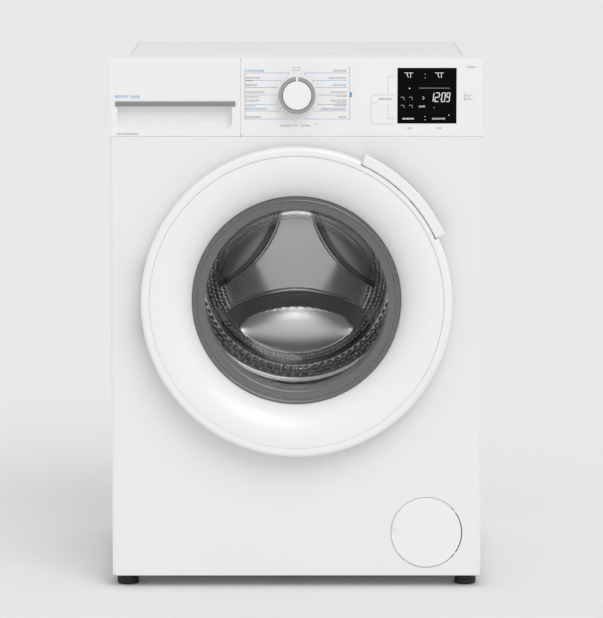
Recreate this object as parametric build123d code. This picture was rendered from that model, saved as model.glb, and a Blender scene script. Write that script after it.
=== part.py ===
from build123d import *
import os
from math import sin, cos, radians, sqrt, pi, atan2, degrees

# Free-standing front load washing machine, drawn as separate pieces.
#
# Drawing frame while the solids are made: X to the right seen from the front, Y backwards from the
# front panel's face, Z up from the floor. Every solid is moved by YO at the end, so that the origin
# is the bottom centre of the whole machine. Millimetres.

# ---- driving dimensions -------------------------------------------------------------------
W = 596.0          # width over the side panels
D = 549.0          # depth of the cabinet without door, knob and rear fittings
H = 856.0          # height to the worktop with the feet wound in
ZB = 19.0          # underside of the front panel above the floor
SHEET = 1.0        # steel sheet of the cabinet
ZF = 732.0         # seam between front panel and control fascia
ZT = 829.5         # top of the side walls, under the worktop
ZC = 469.5         # height of the drum axis and of the door
DOOR_R = 249.0     # outside radius of the door
DOOR_Y = -46.0     # front of the door
SEAM_R = 235.0     # seam between rim and dished cover
BEZ_RO = 167.5     # bezel outside radius
BEZ_RI = 146.5     # bezel inside radius, clear window
HOLE_R = 165.0     # door opening in the front panel
HX, HY = -236.0, -22.0          # door hinge axis, vertical
EAR = (37.0, 56.0)              # hinge ears, distance above and below the axis height
HANDLE_A = (25.0, 65.0)         # handle, angles from +X
HANDLE_R = 261.0
HOOK_X, HOOK_Y, HOOK_Z = 213.0, -24.0, ZC + 40.0
LOCK_X = 205.0
FLAP_X, FLAP_Z, FLAP_R = 210.0, 90.0, 56.5
FLAP_HX, FLAP_HY = 256.0, 1.3   # flap hinge axis
DIAL_X, DIAL_Z = 1.0, 799.0
DISP = (161.0, 255.5, 753.0, 842.0)   # display: x, x, z, z
DRW_X = -89.2      # right edge of the drawer front
DRUM_R = 240.0     # drum outside radius
DRUM_Y0, DRUM_Y1 = 96.0, 332.0  # drum wall, front to the joint with the back
MOUTH_R = 158.0    # drum mouth
TUB_RI, TUB_RO = 254.0, 258.0
TUB_Y0, TUB_YM, TUB_Y1 = 80.0, 255.0, 434.0
SHAFT_R = 15.0
PULLEY_R = 142.0
MPULLEY_R = 11.0
PULLEY_Y = (484.0, 498.0)
MOTOR_X, MOTOR_Z, MOTOR_R = 30.0, 133.0, 60.0
FOOT_X, FOOT_YF, FOOT_YR = 274.5, 40.0, 505.0
FOOT_R = 17.5
PORT_X, PORT_Y = -122.0, 150.0        # water port between dispenser and tub
SPRING_X, SPRING_Y = 236.0, 300.0
DAMP_X, DAMP_Y = 190.0, 290.0
YO = -257.5        # from the front panel's face to the origin

os.makedirs("parts", exist_ok=True)


# ---- helpers --------------------------------------------------------------------------------
def box(x0, x1, y0, y1, z0, z1):
    return Pos((x0 + x1) / 2, (y0 + y1) / 2, (z0 + z1) / 2) * Box(x1 - x0, y1 - y0, z1 - z0)


def cyl_y(x, z, r, y0, y1):
    return Pos(x, (y0 + y1) / 2, z) * Rot(90, 0, 0) * Cylinder(r, y1 - y0)


def cyl_z(x, y, r, z0, z1):
    return Pos(x, y, (z0 + z1) / 2) * Cylinder(r, z1 - z0)


def cyl_x(y, z, r, x0, x1):
    return Pos((x0 + x1) / 2, y, z) * Rot(0, 90, 0) * Cylinder(r, x1 - x0)


def rev(points, zc=ZC, xc=0.0, angle=360.0):
    """Solid of revolution about the Y direction through (xc, zc), from (radius, y) points."""
    face = make_face(Polyline(*[(r, y) for r, y in points], close=True))
    return Pos(xc, 0, zc) * revolve(face, Axis.Y, angle)


def rev_wire(wire, zc=ZC, xc=0.0):
    return Pos(xc, 0, zc) * revolve(make_face(wire), Axis.Y, 360)


def sheet_profile(front, t):
    """Closed (radius, y) outline of a pressed sheet, from its front line and thickness along Y."""
    return list(front) + [(r, y + t) for r, y in reversed(front)]


def sector(r0, r1, a0, a1, y0, y1, zc=ZC):
    """Part of a ring about the door axis, angles from +X towards +Z, in degrees."""
    n = 12
    out = [(r1 * cos(radians(a0 + (a1 - a0) * i / n)), r1 * sin(radians(a0 + (a1 - a0) * i / n))) for i in range(n + 1)]
    inn = [(r0 * cos(radians(a1 + (a0 - a1) * i / n)), r0 * sin(radians(a1 + (a0 - a1) * i / n))) for i in range(n + 1)]
    pl = Plane(origin=(0, y0, zc), x_dir=(1, 0, 0), z_dir=(0, -1, 0))
    face = make_face(Polyline(*out, *inn, close=True))
    return extrude(pl * face, -(y1 - y0))


def arc_sector(r0, r1, a0, a1, y0, y1, zc=ZC):
    """As sector, with true round edges: a ring cut by a wedge."""
    ring = cyl_y(0, zc, r1, y0, y1) - cyl_y(0, zc, r0, y0 - 1, y1 + 1)
    big = 2.2 * r1
    if a1 - a0 < 179:
        m = (a0 + a1) / 2
        wedge_pts = [(0, 0), (big * cos(radians(a0)), big * sin(radians(a0))), (big * 1.4 * cos(radians(m)), big * 1.4 * sin(radians(m))),
                     (big * cos(radians(a1)), big * sin(radians(a1)))]
    pl = Plane(origin=(0, y0, zc), x_dir=(1, 0, 0), z_dir=(0, -1, 0))
    wedge = extrude(pl * make_face(Polyline(*wedge_pts, close=True)), -(y1 - y0))
    return ring & wedge


def poly_z(points, z0, z1):
    """A plate drawn in X, Y and extruded up."""
    return Pos(0, 0, z0) * extrude(make_face(Polyline(*points, close=True)), z1 - z0)


def poly_x(points, x0, x1):
    """A plate drawn in Y, Z and extruded along X."""
    pl = Plane(origin=(x0, 0, 0), x_dir=(0, 1, 0), z_dir=(1, 0, 0))
    return extrude(pl * make_face(Polyline(*points, close=True)), x1 - x0)


def poly_y(points, y0, y1):
    """A plate drawn in X, Z and extruded backwards."""
    pl = Plane(origin=(0, y0, 0), x_dir=(1, 0, 0), z_dir=(0, -1, 0))
    return extrude(pl * make_face(Polyline(*points, close=True)), -(y1 - y0))


def about_y(shape, deg, zc=ZC):
    """Turn about the drum axis, positive from +X towards +Z."""
    return Pos(0, 0, zc) * Rot(0, -deg, 0) * Pos(0, 0, -zc) * shape


def tube(points, r_out, r_in, radii):
    """A hose: straight runs joined by tangent arcs."""
    path = FilletPolyline(*points, radius=radii) if radii else Polyline(*points)
    d = Vector(*points[1]) - Vector(*points[0])
    pl = Plane(origin=points[0], z_dir=d.normalized())
    ring = pl * (Circle(r_out) - Circle(r_in)) if r_in else pl * Circle(r_out)
    return sweep(ring, path=path)


PARTS = {}


def put(name, shape):
    PARTS[name] = shape


def safe_fillet(shape, edges, r):
    try:
        return fillet(edges, r)
    except Exception as e:
        print("fillet left out", r, str(e)[:60])
        return shape


# ---- cabinet --------------------------------------------------------------------------------
def cabinet_shell():
    s = box(-W / 2, W / 2, 0.6, D - 1, ZB + 0.5, ZT)
    # rounded vertical corners, as the sheet is folded
    s = fillet(s.edges().filter_by(Axis.Z), 3.0)
    inner = box(-W / 2 + SHEET, W / 2 - SHEET, -5, D - 1 - SHEET, ZB - 5, ZT + 5)
    s = s - inner
    # front flanges the front panel is screwed to
    for sx in (-1, 1):
        a, b = sorted((sx * (W / 2 - SHEET), sx * (W / 2 - 22)))
        s = s + box(a, b, 15.0, 16.0, ZB + 12, ZF - 12)
        # top flanges that carry the worktop and the springs
        a2, b2 = sorted((sx * (W / 2 - SHEET), sx * (W / 2 - 9)))
        s = s + box(a2, b2, 40.0, D - 2, ZT - 1.2, ZT)
        # spring hangers
        x = sx * SPRING_X
        xa, xb = sorted((x - sx * 8, sx * (W / 2 - 0.5)))
        s = s + box(xa, xb, SPRING_Y - 20, SPRING_Y + 20, ZT - 3.2, ZT)
        s = s - cyl_z(x, SPRING_Y, 3.2, ZT - 10, ZT + 5)
    # room for the fascia and the drawer front
    s = s - box(-W / 2 - 5, DRW_X + 4, -5, 18.5, ZF - 0.4, ZT + 20) - box(DRW_X, W / 2 + 5, -5, 14.4, ZF - 0.4, ZT + 20)
    # service opening in the back
    s = s - box(-205, 205, D - 6, D + 1, 110, 700)
    # holes in the back: water inlet, drain, mains, four transit bolts
    s = s - cyl_y(-200, 790, 17.0, D - 8, D + 2)
    s = s - cyl_y(245, 770, 15.0, D - 8, D + 2)
    s = s - cyl_y(-245, 120, 10.0, D - 8, D + 2)
    for x, z in TRANSIT:
        s = s - cyl_y(x, z, 11.0, D - 8, D + 2)
    # grip hollows low in the sides are left plain; a stiffening bead is pressed on each side
    return s


TRANSIT = [(-232, 330), (232, 330), (-232, 640), (232, 640)]


def rear_cover():
    s = box(-215, 215, D - 0.9, D, 98, 712)
    s = fillet(s.edges().filter_by(Axis.Y), 12)
    # pressed stiffening field, standing 6 mm proud towards the inside
    field = box(-180, 180, D - 6.0, D, 140, 670)
    field = fillet(field.edges().filter_by(Axis.Y), 30)
    field = chamfer(field.faces().sort_by(Axis.Y)[0].edges(), 4.0)
    inner = box(-179, 179, D - 5.0, D + 1, 141, 669)
    inner = fillet(inner.edges().filter_by(Axis.Y), 29.3)
    inner = chamfer(inner.faces().sort_by(Axis.Y)[0].edges(), 4.0)
    s = s + field - inner
    # louvres for cooling air
    for i in range(5):
        z = 180 + i * 14
        s = s - box(-60, 60, D - 7, D + 1, z, z + 4)
    for x, z in REAR_SCREWS:
        s = s - cyl_y(x, z, 2.2, D - 3, D + 1)
    return s


REAR_SCREWS = [(-208, 105.5), (0, 105.5), (208, 105.5), (-210, 405), (210, 405), (-208, 704.5), (0, 704.5), (208, 704.5)]


def rear_screws():
    out = []
    for x, z in REAR_SCREWS:
        head = cyl_y(x, z, 4.2, D + 0.02, D + 2.4)
        head = fillet(head.faces().sort_by(Axis.Y)[-1].edges(), 1.2)
        slot = box(x - 3, x + 3, D + 1.4, D + 3, z - 0.5, z + 0.5) + box(x - 0.5, x + 0.5, D + 1.4, D + 3, z - 3, z + 3)
        out.append(head + cyl_y(x, z, 1.9, D - 0.95, D + 0.1) - slot)
    return Compound(children=out)


def transit_caps():
    out = []
    for x, z in TRANSIT:
        c = cyl_y(x, z, 14.0, D - 0.95, D + 1.6)
        c = fillet(c.faces().sort_by(Axis.Y)[-1].edges(), 1.2)
        c = c + (cyl_y(x, z, 10.6, D - 10, D - 0.9) - cyl_y(x, z, 8.6, D - 11, D - 2.5))
        c = c - box(x - 5, x + 5, D + 0.9, D + 3, z - 0.8, z + 0.8)
        out.append(c)
    return Compound(children=out)


def front_panel():
    hw = W / 2 - 2.2
    s = box(-hw, hw, 0, 14.0, ZB, ZF - 0.6)
    s = fillet(s.edges().filter_by(Axis.Y), 4.0)
    s = fillet(s.faces().sort_by(Axis.Y)[0].edges(), 1.6)
    s = s - box(-hw + SHEET, hw - SHEET, SHEET, 30, ZB + SHEET, ZF - 0.6 - SHEET)
    # door opening with a lip turned inwards
    s = s - cyl_y(0, ZC, HOLE_R, -5, 20)
    s = s + rev([(HOLE_R, 0.4), (HOLE_R + 1.0, 0.0), (HOLE_R + 3.0, 0.0), (HOLE_R + 3.0, 1.0), (HOLE_R + 1.0, 1.0), (HOLE_R + 1.0, 9.0), (HOLE_R, 9.0)])
    # filter access
    s = s - cyl_y(FLAP_X, FLAP_Z, FLAP_R + 1.5, -5, 20)
    s = s + (rev([(FLAP_R + 1.5, 4.2), (FLAP_R + 9.5, 4.2), (FLAP_R + 9.5, 5.2), (FLAP_R + 1.5, 5.2)], zc=FLAP_Z, xc=FLAP_X) & box(FLAP_X - 100, FLAP_X - 30, 0, 10, 0, 200)) \
        + box(FLAP_X - 67, FLAP_X - 62, 0.9, 5.0, FLAP_Z - 12, FLAP_Z + 12)
    for sg in (-1, 1):
        z0, z1 = sorted((FLAP_Z + sg * 33, FLAP_Z + sg * 40.5))
        s = s + (box(FLAP_HX - 3, FLAP_HX + 5, 0.2, 4.4, z0, z1) - cyl_y(FLAP_X, FLAP_Z, FLAP_R + 1.5, -5, 20))
    s = s - cyl_z(FLAP_HX, FLAP_HY, 1.05, FLAP_Z - 38.5, FLAP_Z + 38.5)
    # latch slot
    s = s - box(LOCK_X - 9, LOCK_X + 15, -2, 3, HOOK_Z - 13, HOOK_Z + 13)
    return s


def base_tray():
    s = box(-W / 2 + 2.2, W / 2 - 2.2, 17, D - 3, ZB + 1.5, ZB + 32)
    s = fillet(s.edges().filter_by(Axis.Z), 6)
    s = s - box(-W / 2 + 5, W / 2 - 5, 20, D - 6, ZB + 4.0, ZB + 60)
    # opening for air under the motor
    s = s - box(-120, 150, 190, 450, ZB - 5, ZB + 20)
    s = s + (box(-124, 154, 186, 454, ZB + 1.5, ZB + 14) - box(-120, 150, 190, 450, ZB - 5, ZB + 30))
    for x in (-FOOT_X, FOOT_X):
        for y in (FOOT_YF, FOOT_YR):
            s = s + box(x - 18.5, x + 18.5, y - 20, y + 20, ZB + 1.5, ZB + 24)
    for x in (-FOOT_X, FOOT_X):
        for y in (FOOT_YF, FOOT_YR):
            s = s - cyl_z(x, y, 5.1, -5, ZB + 60)
    # seats of the dampers
    for x in (-DAMP_X, DAMP_X):
        s = s + box(x - 20, x + 20, DAMP_Y - 20, DAMP_Y + 20, ZB + 1.5, ZB + 11)
    return s


def worktop_frame():
    y0 = 14.6
    s = box(-W / 2, W / 2, y0, D, ZT + 0.3, H)
    s = fillet(s.edges().filter_by(Axis.Z), 4)
    top = s.faces().sort_by(Axis.Z)[-1]
    s = safe_fillet(s, top.edges(), 3.0)
    s = s - box(-W / 2 + 3, W / 2 - 3, y0 - 5, D - 3, ZT - 5, H - 3.2)
    s = s - box(-W / 2 - 5, DRW_X + 0.3, y0 - 5, 18.5, ZT - 5, H + 5)
    s = s + box(-W / 2 + 3, DRW_X + 3.3, 18.5, 21.4, ZT + 0.3, H - 3.2)
    # seat of the inlaid panel
    s = s - box(-269.5, 269.5, 105, 475, H - 2.6, H + 5)
    s = s - box(-262, 262, 112, 468, H - 10, H + 5)
    s = s + (box(-266, 266, 108, 472, H - 16, H - 3.0) - box(-262, 262, 112, 468, H - 20, H))
    return s


def worktop_panel():
    s = box(-269.0, 269.0, 105.5, 474.5, H - 2.5, H - 0.7)
    s = fillet(s.edges().filter_by(Axis.Z), 3)
    return s


def control_fascia():
    # right part: visible skin with its edges
    s = box(DRW_X + 0.6, W / 2, 0, 14.0, ZF + 0.3, H)
    s = fillet(s.edges().filter_by(Axis.Y), 3.0)
    s = fillet(s.faces().sort_by(Axis.Y)[0].edges(), 1.2)
    s = s - box(DRW_X + 3.6, W / 2 - 3, 3.0, 30, ZF + 3.3, H - 3)
    # left part: frame behind the drawer front
    f = box(-W / 2 + 1.4, DRW_X + 4, 18.6, 21.0, ZF + 0.3, ZT - 1.6)
    f = f + box(-W / 2 + 1.4, -W / 2 + 4.0, 18.6, 34.0, ZF + 0.3, ZT - 1.6)
    f = f - box(-285, -101, 10, 30, 744.5, 825)
    s = s + f + box(DRW_X + 0.6, DRW_X + 3.6, 13.0, 21.0, ZF + 0.3, ZT - 1.6)
    # seam groove between the two decor fields
    s = s - box(90.0, 90.5, -1, 0.35, ZF - 1, H + 1)
    # display and knob openings
    x0, x1, z0, z1 = DISP
    s = s - box(x0, x1, -2, 10, z0, z1)
    s = s - cyl_y(DIAL_X, DIAL_Z, 8.0, -2, 10)
    # ribs that hold the electronics
    s = s + (box(x0 - 5, x1 + 5, 2.9, 12, z0 - 4, z1 + 4) - box(x0, x1, 0, 20, z0, z1))
    return s


def display_window():
    x0, x1, z0, z1 = DISP
    s = box(x0 + 0.25, x1 - 0.25, -0.4, 2.6, z0 + 0.25, z1 - 0.25)
    s = fillet(s.edges().filter_by(Axis.Y), 1.5)
    s = fillet(s.faces().sort_by(Axis.Y)[0].edges(), 0.35)
    return s


def control_module():
    x0, x1, z0, z1 = DISP
    s = box(x0 + 1, x1 - 1, 3.0, 15, z0 + 1, z1 - 1)
    s = s + box(-30, 268, 15, 34, 746, 838)
    s = fillet(s.edges().filter_by(Axis.Y), 3)
    s = s + cyl_y(DIAL_X, DIAL_Z, 10.5, 8.0, 15.5)
    s = s - cyl_y(DIAL_X, DIAL_Z, 3.06, 0, 26)
    for i in range(4):
        s = s + box(20 + i * 26, 38 + i * 26, 33.5, 42, 752, 762)
    return s


def dispenser_housing():
    s = box(-287, -99, 21.6, 250, 741.5, 828)
    s = s - box(-284.6, -101.4, 10, 247.6, 745.0, 825.6)
    # spray cover on top and outlet at the bottom rear
    s = s + box(-276, -110, 60, 235, 827.5, 836)
    s = s - cyl_y(-200, 815, 5.5, 240, 260)
    s = s + (cyl_y(-200, 815, 7.5, 249.5, 262) - cyl_y(-200, 815, 5.5, 240, 270))
    s = s - cyl_z(PORT_X, PORT_Y, 14, 730, 750)
    s = s + (cyl_z(PORT_X, PORT_Y, 17, 729, 742) - cyl_z(PORT_X, PORT_Y, 14, 720, 750))
    return s


def door_lock():
    # interlock body behind the front panel, open towards the front for the hook
    s = box(LOCK_X - 24, LOCK_X + 26, 1.2, 30, HOOK_Z - 34, HOOK_Z + 34)
    s = fillet(s.edges().filter_by(Axis.Y), 3)
    s = s - box(LOCK_X - 9, LOCK_X + 16, -2, 24, HOOK_Z - 13, HOOK_Z + 13)
    # striker bar the hook holds behind
    s = s + box(LOCK_X - 9.5, LOCK_X - 1.5, 2.0, 6.0, HOOK_Z - 13.5, HOOK_Z + 13.5)
    s = s + box(LOCK_X - 14, LOCK_X + 10, 30, 38, HOOK_Z - 28, HOOK_Z - 12)
    return s


def hinge_bracket():
    zc = ZC
    s = box(HX + 4, HX + 50, -2.6, -0.05, zc - 62, zc + 62)
    s = fillet(s.edges().filter_by(Axis.Y), 4)
    for sgn in (-1, 1):
        z0, z1 = sorted((zc + sgn * EAR[0], zc + sgn * EAR[1]))
        ear = poly_z([(HX - 5.4, HY), (HX - 5.4, HY + 8), (HX - 3, -8.5), (HX + 6, -0.05), (HX + 34, -0.05), (HX + 34, -3), (HX + 16, -6), (HX + 5.6, HY + 4), (HX + 5.4, HY)], z0, z1)
        ear = ear + cyl_z(HX, HY, 5.5, z0, z1)
        s = s + ear
        for dx in (12, 40):
            s = s - (Pos(HX + dx, 0, zc + sgn * 20) * Rot(90, 0, 0) * Cylinder(2.6, 40))
    for sgn in (-1, 1):
        s = s - cyl_z(HX, HY, 3.06, zc + sgn * 80 - 50, zc + sgn * 80 + 50)
    return s


def damper_cylinders():
    out = []
    for x in (-DAMP_X, DAMP_X):
        c = cyl_z(x, DAMP_Y, 16, ZB + 28, 170) - cyl_z(x, DAMP_Y, 12.2, ZB + 34, 171)
        c = c + cyl_z(x, DAMP_Y, 9, ZB + 11.2, ZB + 29)
        c = c + (cyl_z(x, DAMP_Y, 17.5, 158, 170) - cyl_z(x, DAMP_Y, 8.0, 150, 175))
        out.append(c)
    return Compound(children=out)


def damper_rods():
    out = []
    for x in (-DAMP_X, DAMP_X):
        c = cyl_z(x, DAMP_Y, 6.0, 110, 262) + cyl_z(x, DAMP_Y, 11.6, 100, 124)
        c = c + cyl_x(DAMP_Y, 266, 8.0, x - 11.0, x + 11.0)
        c = c - cyl_x(DAMP_Y, 266, 4.1, x - 20, x + 20)
        out.append(c)
    return Compound(children=out)


def suspension_springs():
    # one hanging coil spring, drawn on the right and copied to the left
    z0, z1 = 622.0, 792.0
    x = SPRING_X
    path = Helix(8.0, z1 - z0, 13.0)
    coil = sweep(Plane(origin=path @ 0, z_dir=path % 0) * Circle(2.0), path=path)
    s = Pos(x, SPRING_Y, z0) * coil
    # tails to the axis and straight ends
    for zc, zt in ((z1, ZT + 2.0), (z0, 588.0)):
        q = path @ (1 if zc == z1 else 0)
        e = Vector(x + q.X, SPRING_Y + q.Y, zc)
        sg = 1 if zt > zc else -1
        m = Vector(x, SPRING_Y, zc + sg * 9)
        d = m - e
        rod = Plane(origin=tuple(e), z_dir=tuple(d)) * Pos(0, 0, d.length / 2) * Cylinder(2.0, d.length)
        a, b = sorted((m.Z, zt))
        s = s + rod + Pos(*tuple(m)) * Sphere(2.0) + cyl_z(x, SPRING_Y, 2.0, a, b) + Pos(*tuple(e)) * Sphere(2.0)
    s = s + cyl_z(x, SPRING_Y, 6.0, ZT + 0.3, ZT + 2.2)
    s = s + cyl_y(x, 588.0, 2.0, SPRING_Y - 12.0, SPRING_Y + 12.0)
    return Compound(children=[s, Pos(-2 * SPRING_X, 0, 0) * s])


def door_gasket():
    # rubber bellows: a groove on the panel's lip in front, one convolution, and a bead in the tub's neck
    pts = [(168.8, 4.0), (168.8, 12.6), (161.8, 12.6), (161.8, 6.4), (156.0, 5.6), (153.2, 7.0), (153.2, 19.0), (155.4, 24.0), (155.4, 62.0),
           (155.6, 64.2), (161.6, 64.2), (163.8, 67.0), (163.8, 77.2), (168.2, 77.2), (168.2, 66.0), (171.6, 66.0), (171.6, 79.2),
           (170.0, 80.6), (162.0, 80.6), (160.4, 78.6), (160.4, 70.0), (158.4, 67.6), (156.6, 70.0), (156.6, 87.0), (155.0, 90.0),
           (152.0, 90.0), (149.8, 86.0), (149.8, 64.0), (152.0, 58.0), (152.0, 25.0), (149.6, 20.0), (149.6, 4.5), (151.2, 1.6),
           (156.0, 1.3), (164.6, 1.3), (164.6, 9.3), (166.3, 9.3), (166.3, 4.0)]
    return rev(pts)


def drain_pump():
    s = cyl_y(FLAP_X, FLAP_Z, 34, 26, 34) + cyl_y(FLAP_X, FLAP_Z, 30, 30, 112)
    s = s - cyl_y(FLAP_X, FLAP_Z, 26, 20, 106)
    s = s + cyl_y(FLAP_X, FLAP_Z, 24, 111, 118) + box(FLAP_X - 26, FLAP_X + 26, 117, 172, FLAP_Z - 24, FLAP_Z + 24)
    # inlet from the sump on the left, outlet up at the back right
    s = s + (cyl_x(75, FLAP_Z + 8, 16, FLAP_X - 52, FLAP_X - 24) - cyl_x(75, FLAP_Z + 8, 13, FLAP_X - 60, FLAP_X - 20))
    s = s - cyl_x(75, FLAP_Z + 8, 13, FLAP_X - 60, FLAP_X - 15)
    s = s + (cyl_z(FLAP_X + 12, 95, 11, FLAP_Z + 22, FLAP_Z + 48) - cyl_z(FLAP_X + 12, 95, 8.5, FLAP_Z + 10, FLAP_Z + 60))
    s = s - cyl_y(FLAP_X, FLAP_Z, 26, 20, 106)
    s = s + box(FLAP_X - 36, FLAP_X + 36, 120, 134, ZB + 4.2, FLAP_Z - 22) - box(FLAP_X - 22, FLAP_X + 22, 110, 140, ZB + 10, FLAP_Z - 30)
    return s


def pump_filter():
    # screw-in lint filter with its handle bar
    s = cyl_y(FLAP_X, FLAP_Z, 31, 19.5, 25.6)
    s = fillet(s.faces().sort_by(Axis.Y)[0].edges(), 1.5)
    s = s + cyl_y(FLAP_X, FLAP_Z, 25.6, 25, 44)
    bar = box(FLAP_X - 26, FLAP_X + 26, 10.5, 20, FLAP_Z - 4.5, FLAP_Z + 4.5)
    bar = fillet(bar.edges().filter_by(Axis.Y), 3)
    s = s + bar
    cage = cyl_y(FLAP_X, FLAP_Z, 22, 43, 98) - cyl_y(FLAP_X, FLAP_Z, 19.5, 46, 95)
    for k in range(6):
        a = radians(60 * k + 30)
        cx, cz = FLAP_X + 21 * cos(a), FLAP_Z + 21 * sin(a)
        cage = cage - (Pos(cx, 70, cz) * Rot(0, -degrees(a), 0) * Box(12, 38, 9))
    return s + cage


def filter_flap():
    s = cyl_y(FLAP_X, FLAP_Z, FLAP_R, 0.1, 2.6)
    s = fillet(s.faces().sort_by(Axis.Y)[0].edges(), 0.8)
    # finger hollow at the left edge
    s = s - (Pos(FLAP_X - 54.0, -2.2, FLAP_Z - 1.5) * Rot(90, 0, 0) * scale(Sphere(1.0), by=(11, 11, 4.2)))
    # stiffening ring, hinge lugs and their pins
    s = s + rev([(44, 2.5), (46, 2.5), (46, 5.0), (44, 5.0)], zc=FLAP_Z, xc=FLAP_X)
    for sg in (-1, 1):
        z0, z1 = sorted((FLAP_Z + sg * 24, FLAP_Z + sg * 38.0))
        s = s + cyl_z(FLAP_HX, FLAP_HY, 1.0, z0, z1)
    # snap tongue
    s = s + box(FLAP_X - 53.5, FLAP_X - 50.5, 2.4, 9.0, FLAP_Z - 7, FLAP_Z + 7)
    return s


def inlet_valve():
    x, z = -200, 790
    s = cyl_y(x, z, 13.2, D - 20, D + 12) - cyl_y(x, z, 9.0, D - 12, D + 13)
    s = s + box(x - 18, x + 18, D - 46, D - 4.2, z - 20, z + 34)
    s = s + cyl_y(x, z, 15.5, D - 5, D + 0.4)
    s = s + cyl_z(x, D - 26, 15, z - 44, z - 19)
    # outlet towards the dispenser
    s = s + (cyl_y(x, z + 25, 7.5, D - 60, D - 45) - cyl_y(x, z + 25, 5.5, D - 61, D - 40))
    return s


def water_hoses():
    fill = tube([(-200, 488.5, 815), (-200, 262.5, 815)], 7.5, 5.4, [])
    x = FLAP_X + 12
    pts = [(x, 95, FLAP_Z + 48.5), (x, 95, 190), (270, 140, 250), (274, 250, 330), (272, 400, 480), (262, 498, 640), (247, 505, 735), (245, 515, 770), (245, 540, 770)]
    out = tube(pts, 11, 8.6, [20, 45, 60, 60, 60, 40, 12])
    return Compound(children=[fill, out])


def drain_outlet():
    x, z = 245, 770
    s = cyl_y(x, z, 13.5, D - 8.8, D + 3) + cyl_y(x, z, 19, D + 0.05, D + 3)
    s = s + cyl_y(x, z, 10.5, D + 2, D + 12)
    s = s - cyl_y(x, z, 8.0, D - 12, D + 14)
    return s


def mains_inlet():
    x, z = -245, 120
    s = cyl_y(x, z, 9.6, D - 12, D + 0.5)
    f = box(x - 15, x + 15, D + 0.05, D + 3.0, z - 15, z + 15)
    f = fillet(f.edges().filter_by(Axis.Y), 5)
    s = s + f + cyl_y(x, z, 8.0, D + 2, D + 9)
    s = s - cyl_y(x, z, 4.0, D - 14, D + 12)
    return s


# ---- door -----------------------------------------------------------------------------------
def handle_point(a, r, y):
    return (r * cos(radians(a)), y, ZC + r * sin(radians(a)))


def door_rim():
    # ring with a rounded front band, open to the back
    with BuildLine() as bl:
        l1 = Line((SEAM_R + 0.3, -44.6), (SEAM_R + 1.5, DOOR_Y))
        l2 = Line((SEAM_R + 1.5, DOOR_Y), (DOOR_R - 6.5, DOOR_Y))
        a1 = RadiusArc((DOOR_R - 6.5, DOOR_Y), (DOOR_R, DOOR_Y + 6.5), -6.5)
        l3 = Line((DOOR_R, DOOR_Y + 6.5), (DOOR_R - 0.4, -10.0))
        l4 = Line((DOOR_R - 0.4, -10.0), (DOOR_R - 3.2, -8.0))
        l5 = Line((DOOR_R - 3.2, -8.0), (DOOR_R - 3.2, DOOR_Y + 7.0))
        l6 = Line((DOOR_R - 3.2, DOOR_Y + 7.0), (DOOR_R - 6.8, DOOR_Y + 3.0))
        l7 = Line((DOOR_R - 6.8, DOOR_Y + 3.0), (SEAM_R + 3.0, DOOR_Y + 3.0))
        l8 = Line((SEAM_R + 3.0, DOOR_Y + 3.0), (SEAM_R + 3.0, -34.0))
        l9 = Line((SEAM_R + 3.0, -34.0), (SEAM_R + 0.3, -34.0))
        l10 = Line((SEAM_R + 0.3, -34.0), (SEAM_R + 0.3, -44.6))
    s = rev_wire(bl.line)
    # room for the handle, and the two saddles of its pin
    a0, a1 = HANDLE_A
    s = s - arc_sector(DOOR_R - 6.0, HANDLE_R + 5, a0 - 0.25, a1 + 0.25, DOOR_Y - 1, 2)
    for t0, t1 in ((-23, -17), (17, 23)):
        s = s + (along_handle(236.6, 242.9, -41.0, -34.6, t0, t1) - cyl_y(0, ZC, SEAM_R + 1.5, -60, 0))
    s = s - handle_axis_cyl(1.52, -40, 40)
    # notches for the hinge ears
    for sgn in (-1, 1):
        z0, z1 = sorted((ZC + sgn * (EAR[0] - 2), ZC + sgn * (EAR[1] + 2)))
        s = s - box(-DOOR_R - 5, -DOOR_R + 40, -33.6, 0, z0, z1)
    return s


DISH = [(SEAM_R - 0.4, -44.4), (226, -44.9), (214, -43.9), (203, -41.0), (192, -36.0), (182, -29.2), (174.5, -21.6), (169.5, -14.6), (BEZ_RO + 0.3, -10.6)]


def door_dish():
    t = 2.4
    with BuildLine() as bl:
        Spline(*DISH)
        Line(DISH[-1], (BEZ_RO + 0.3, -8.6))
        back = [(BEZ_RO + 0.3 + t, -8.6), (172.0, -12.6), (176.6, -19.8), (184.0, -27.0), (193.4, -33.6), (203.8, -38.5), (214.2, -41.4), (225.8, -42.4), (SEAM_R - 2.9, -42.0)]
        Line((BEZ_RO + 0.3, -8.6), back[0])
        Spline(*back)
        Line(back[-1], (SEAM_R - 2.9, -34.2))
        Line((SEAM_R - 2.9, -34.2), (SEAM_R - 0.4, -34.2))
        Line((SEAM_R - 0.4, -34.2), DISH[0])
    return rev_wire(bl.line)


def door_bezel():
    pts = [(BEZ_RO, -11.4), (BEZ_RO - 1.2, -12.6), (BEZ_RO - 3.0, -12.4), (BEZ_RO - 6.0, -10.8), (BEZ_RO - 7.5, -10.6), (BEZ_RI + 6.0, -9.2),
           (BEZ_RI + 2.0, -9.4), (BEZ_RI, -8.4), (BEZ_RI, -6.9), (BEZ_RO, -6.9)]
    return rev(pts)


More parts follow.
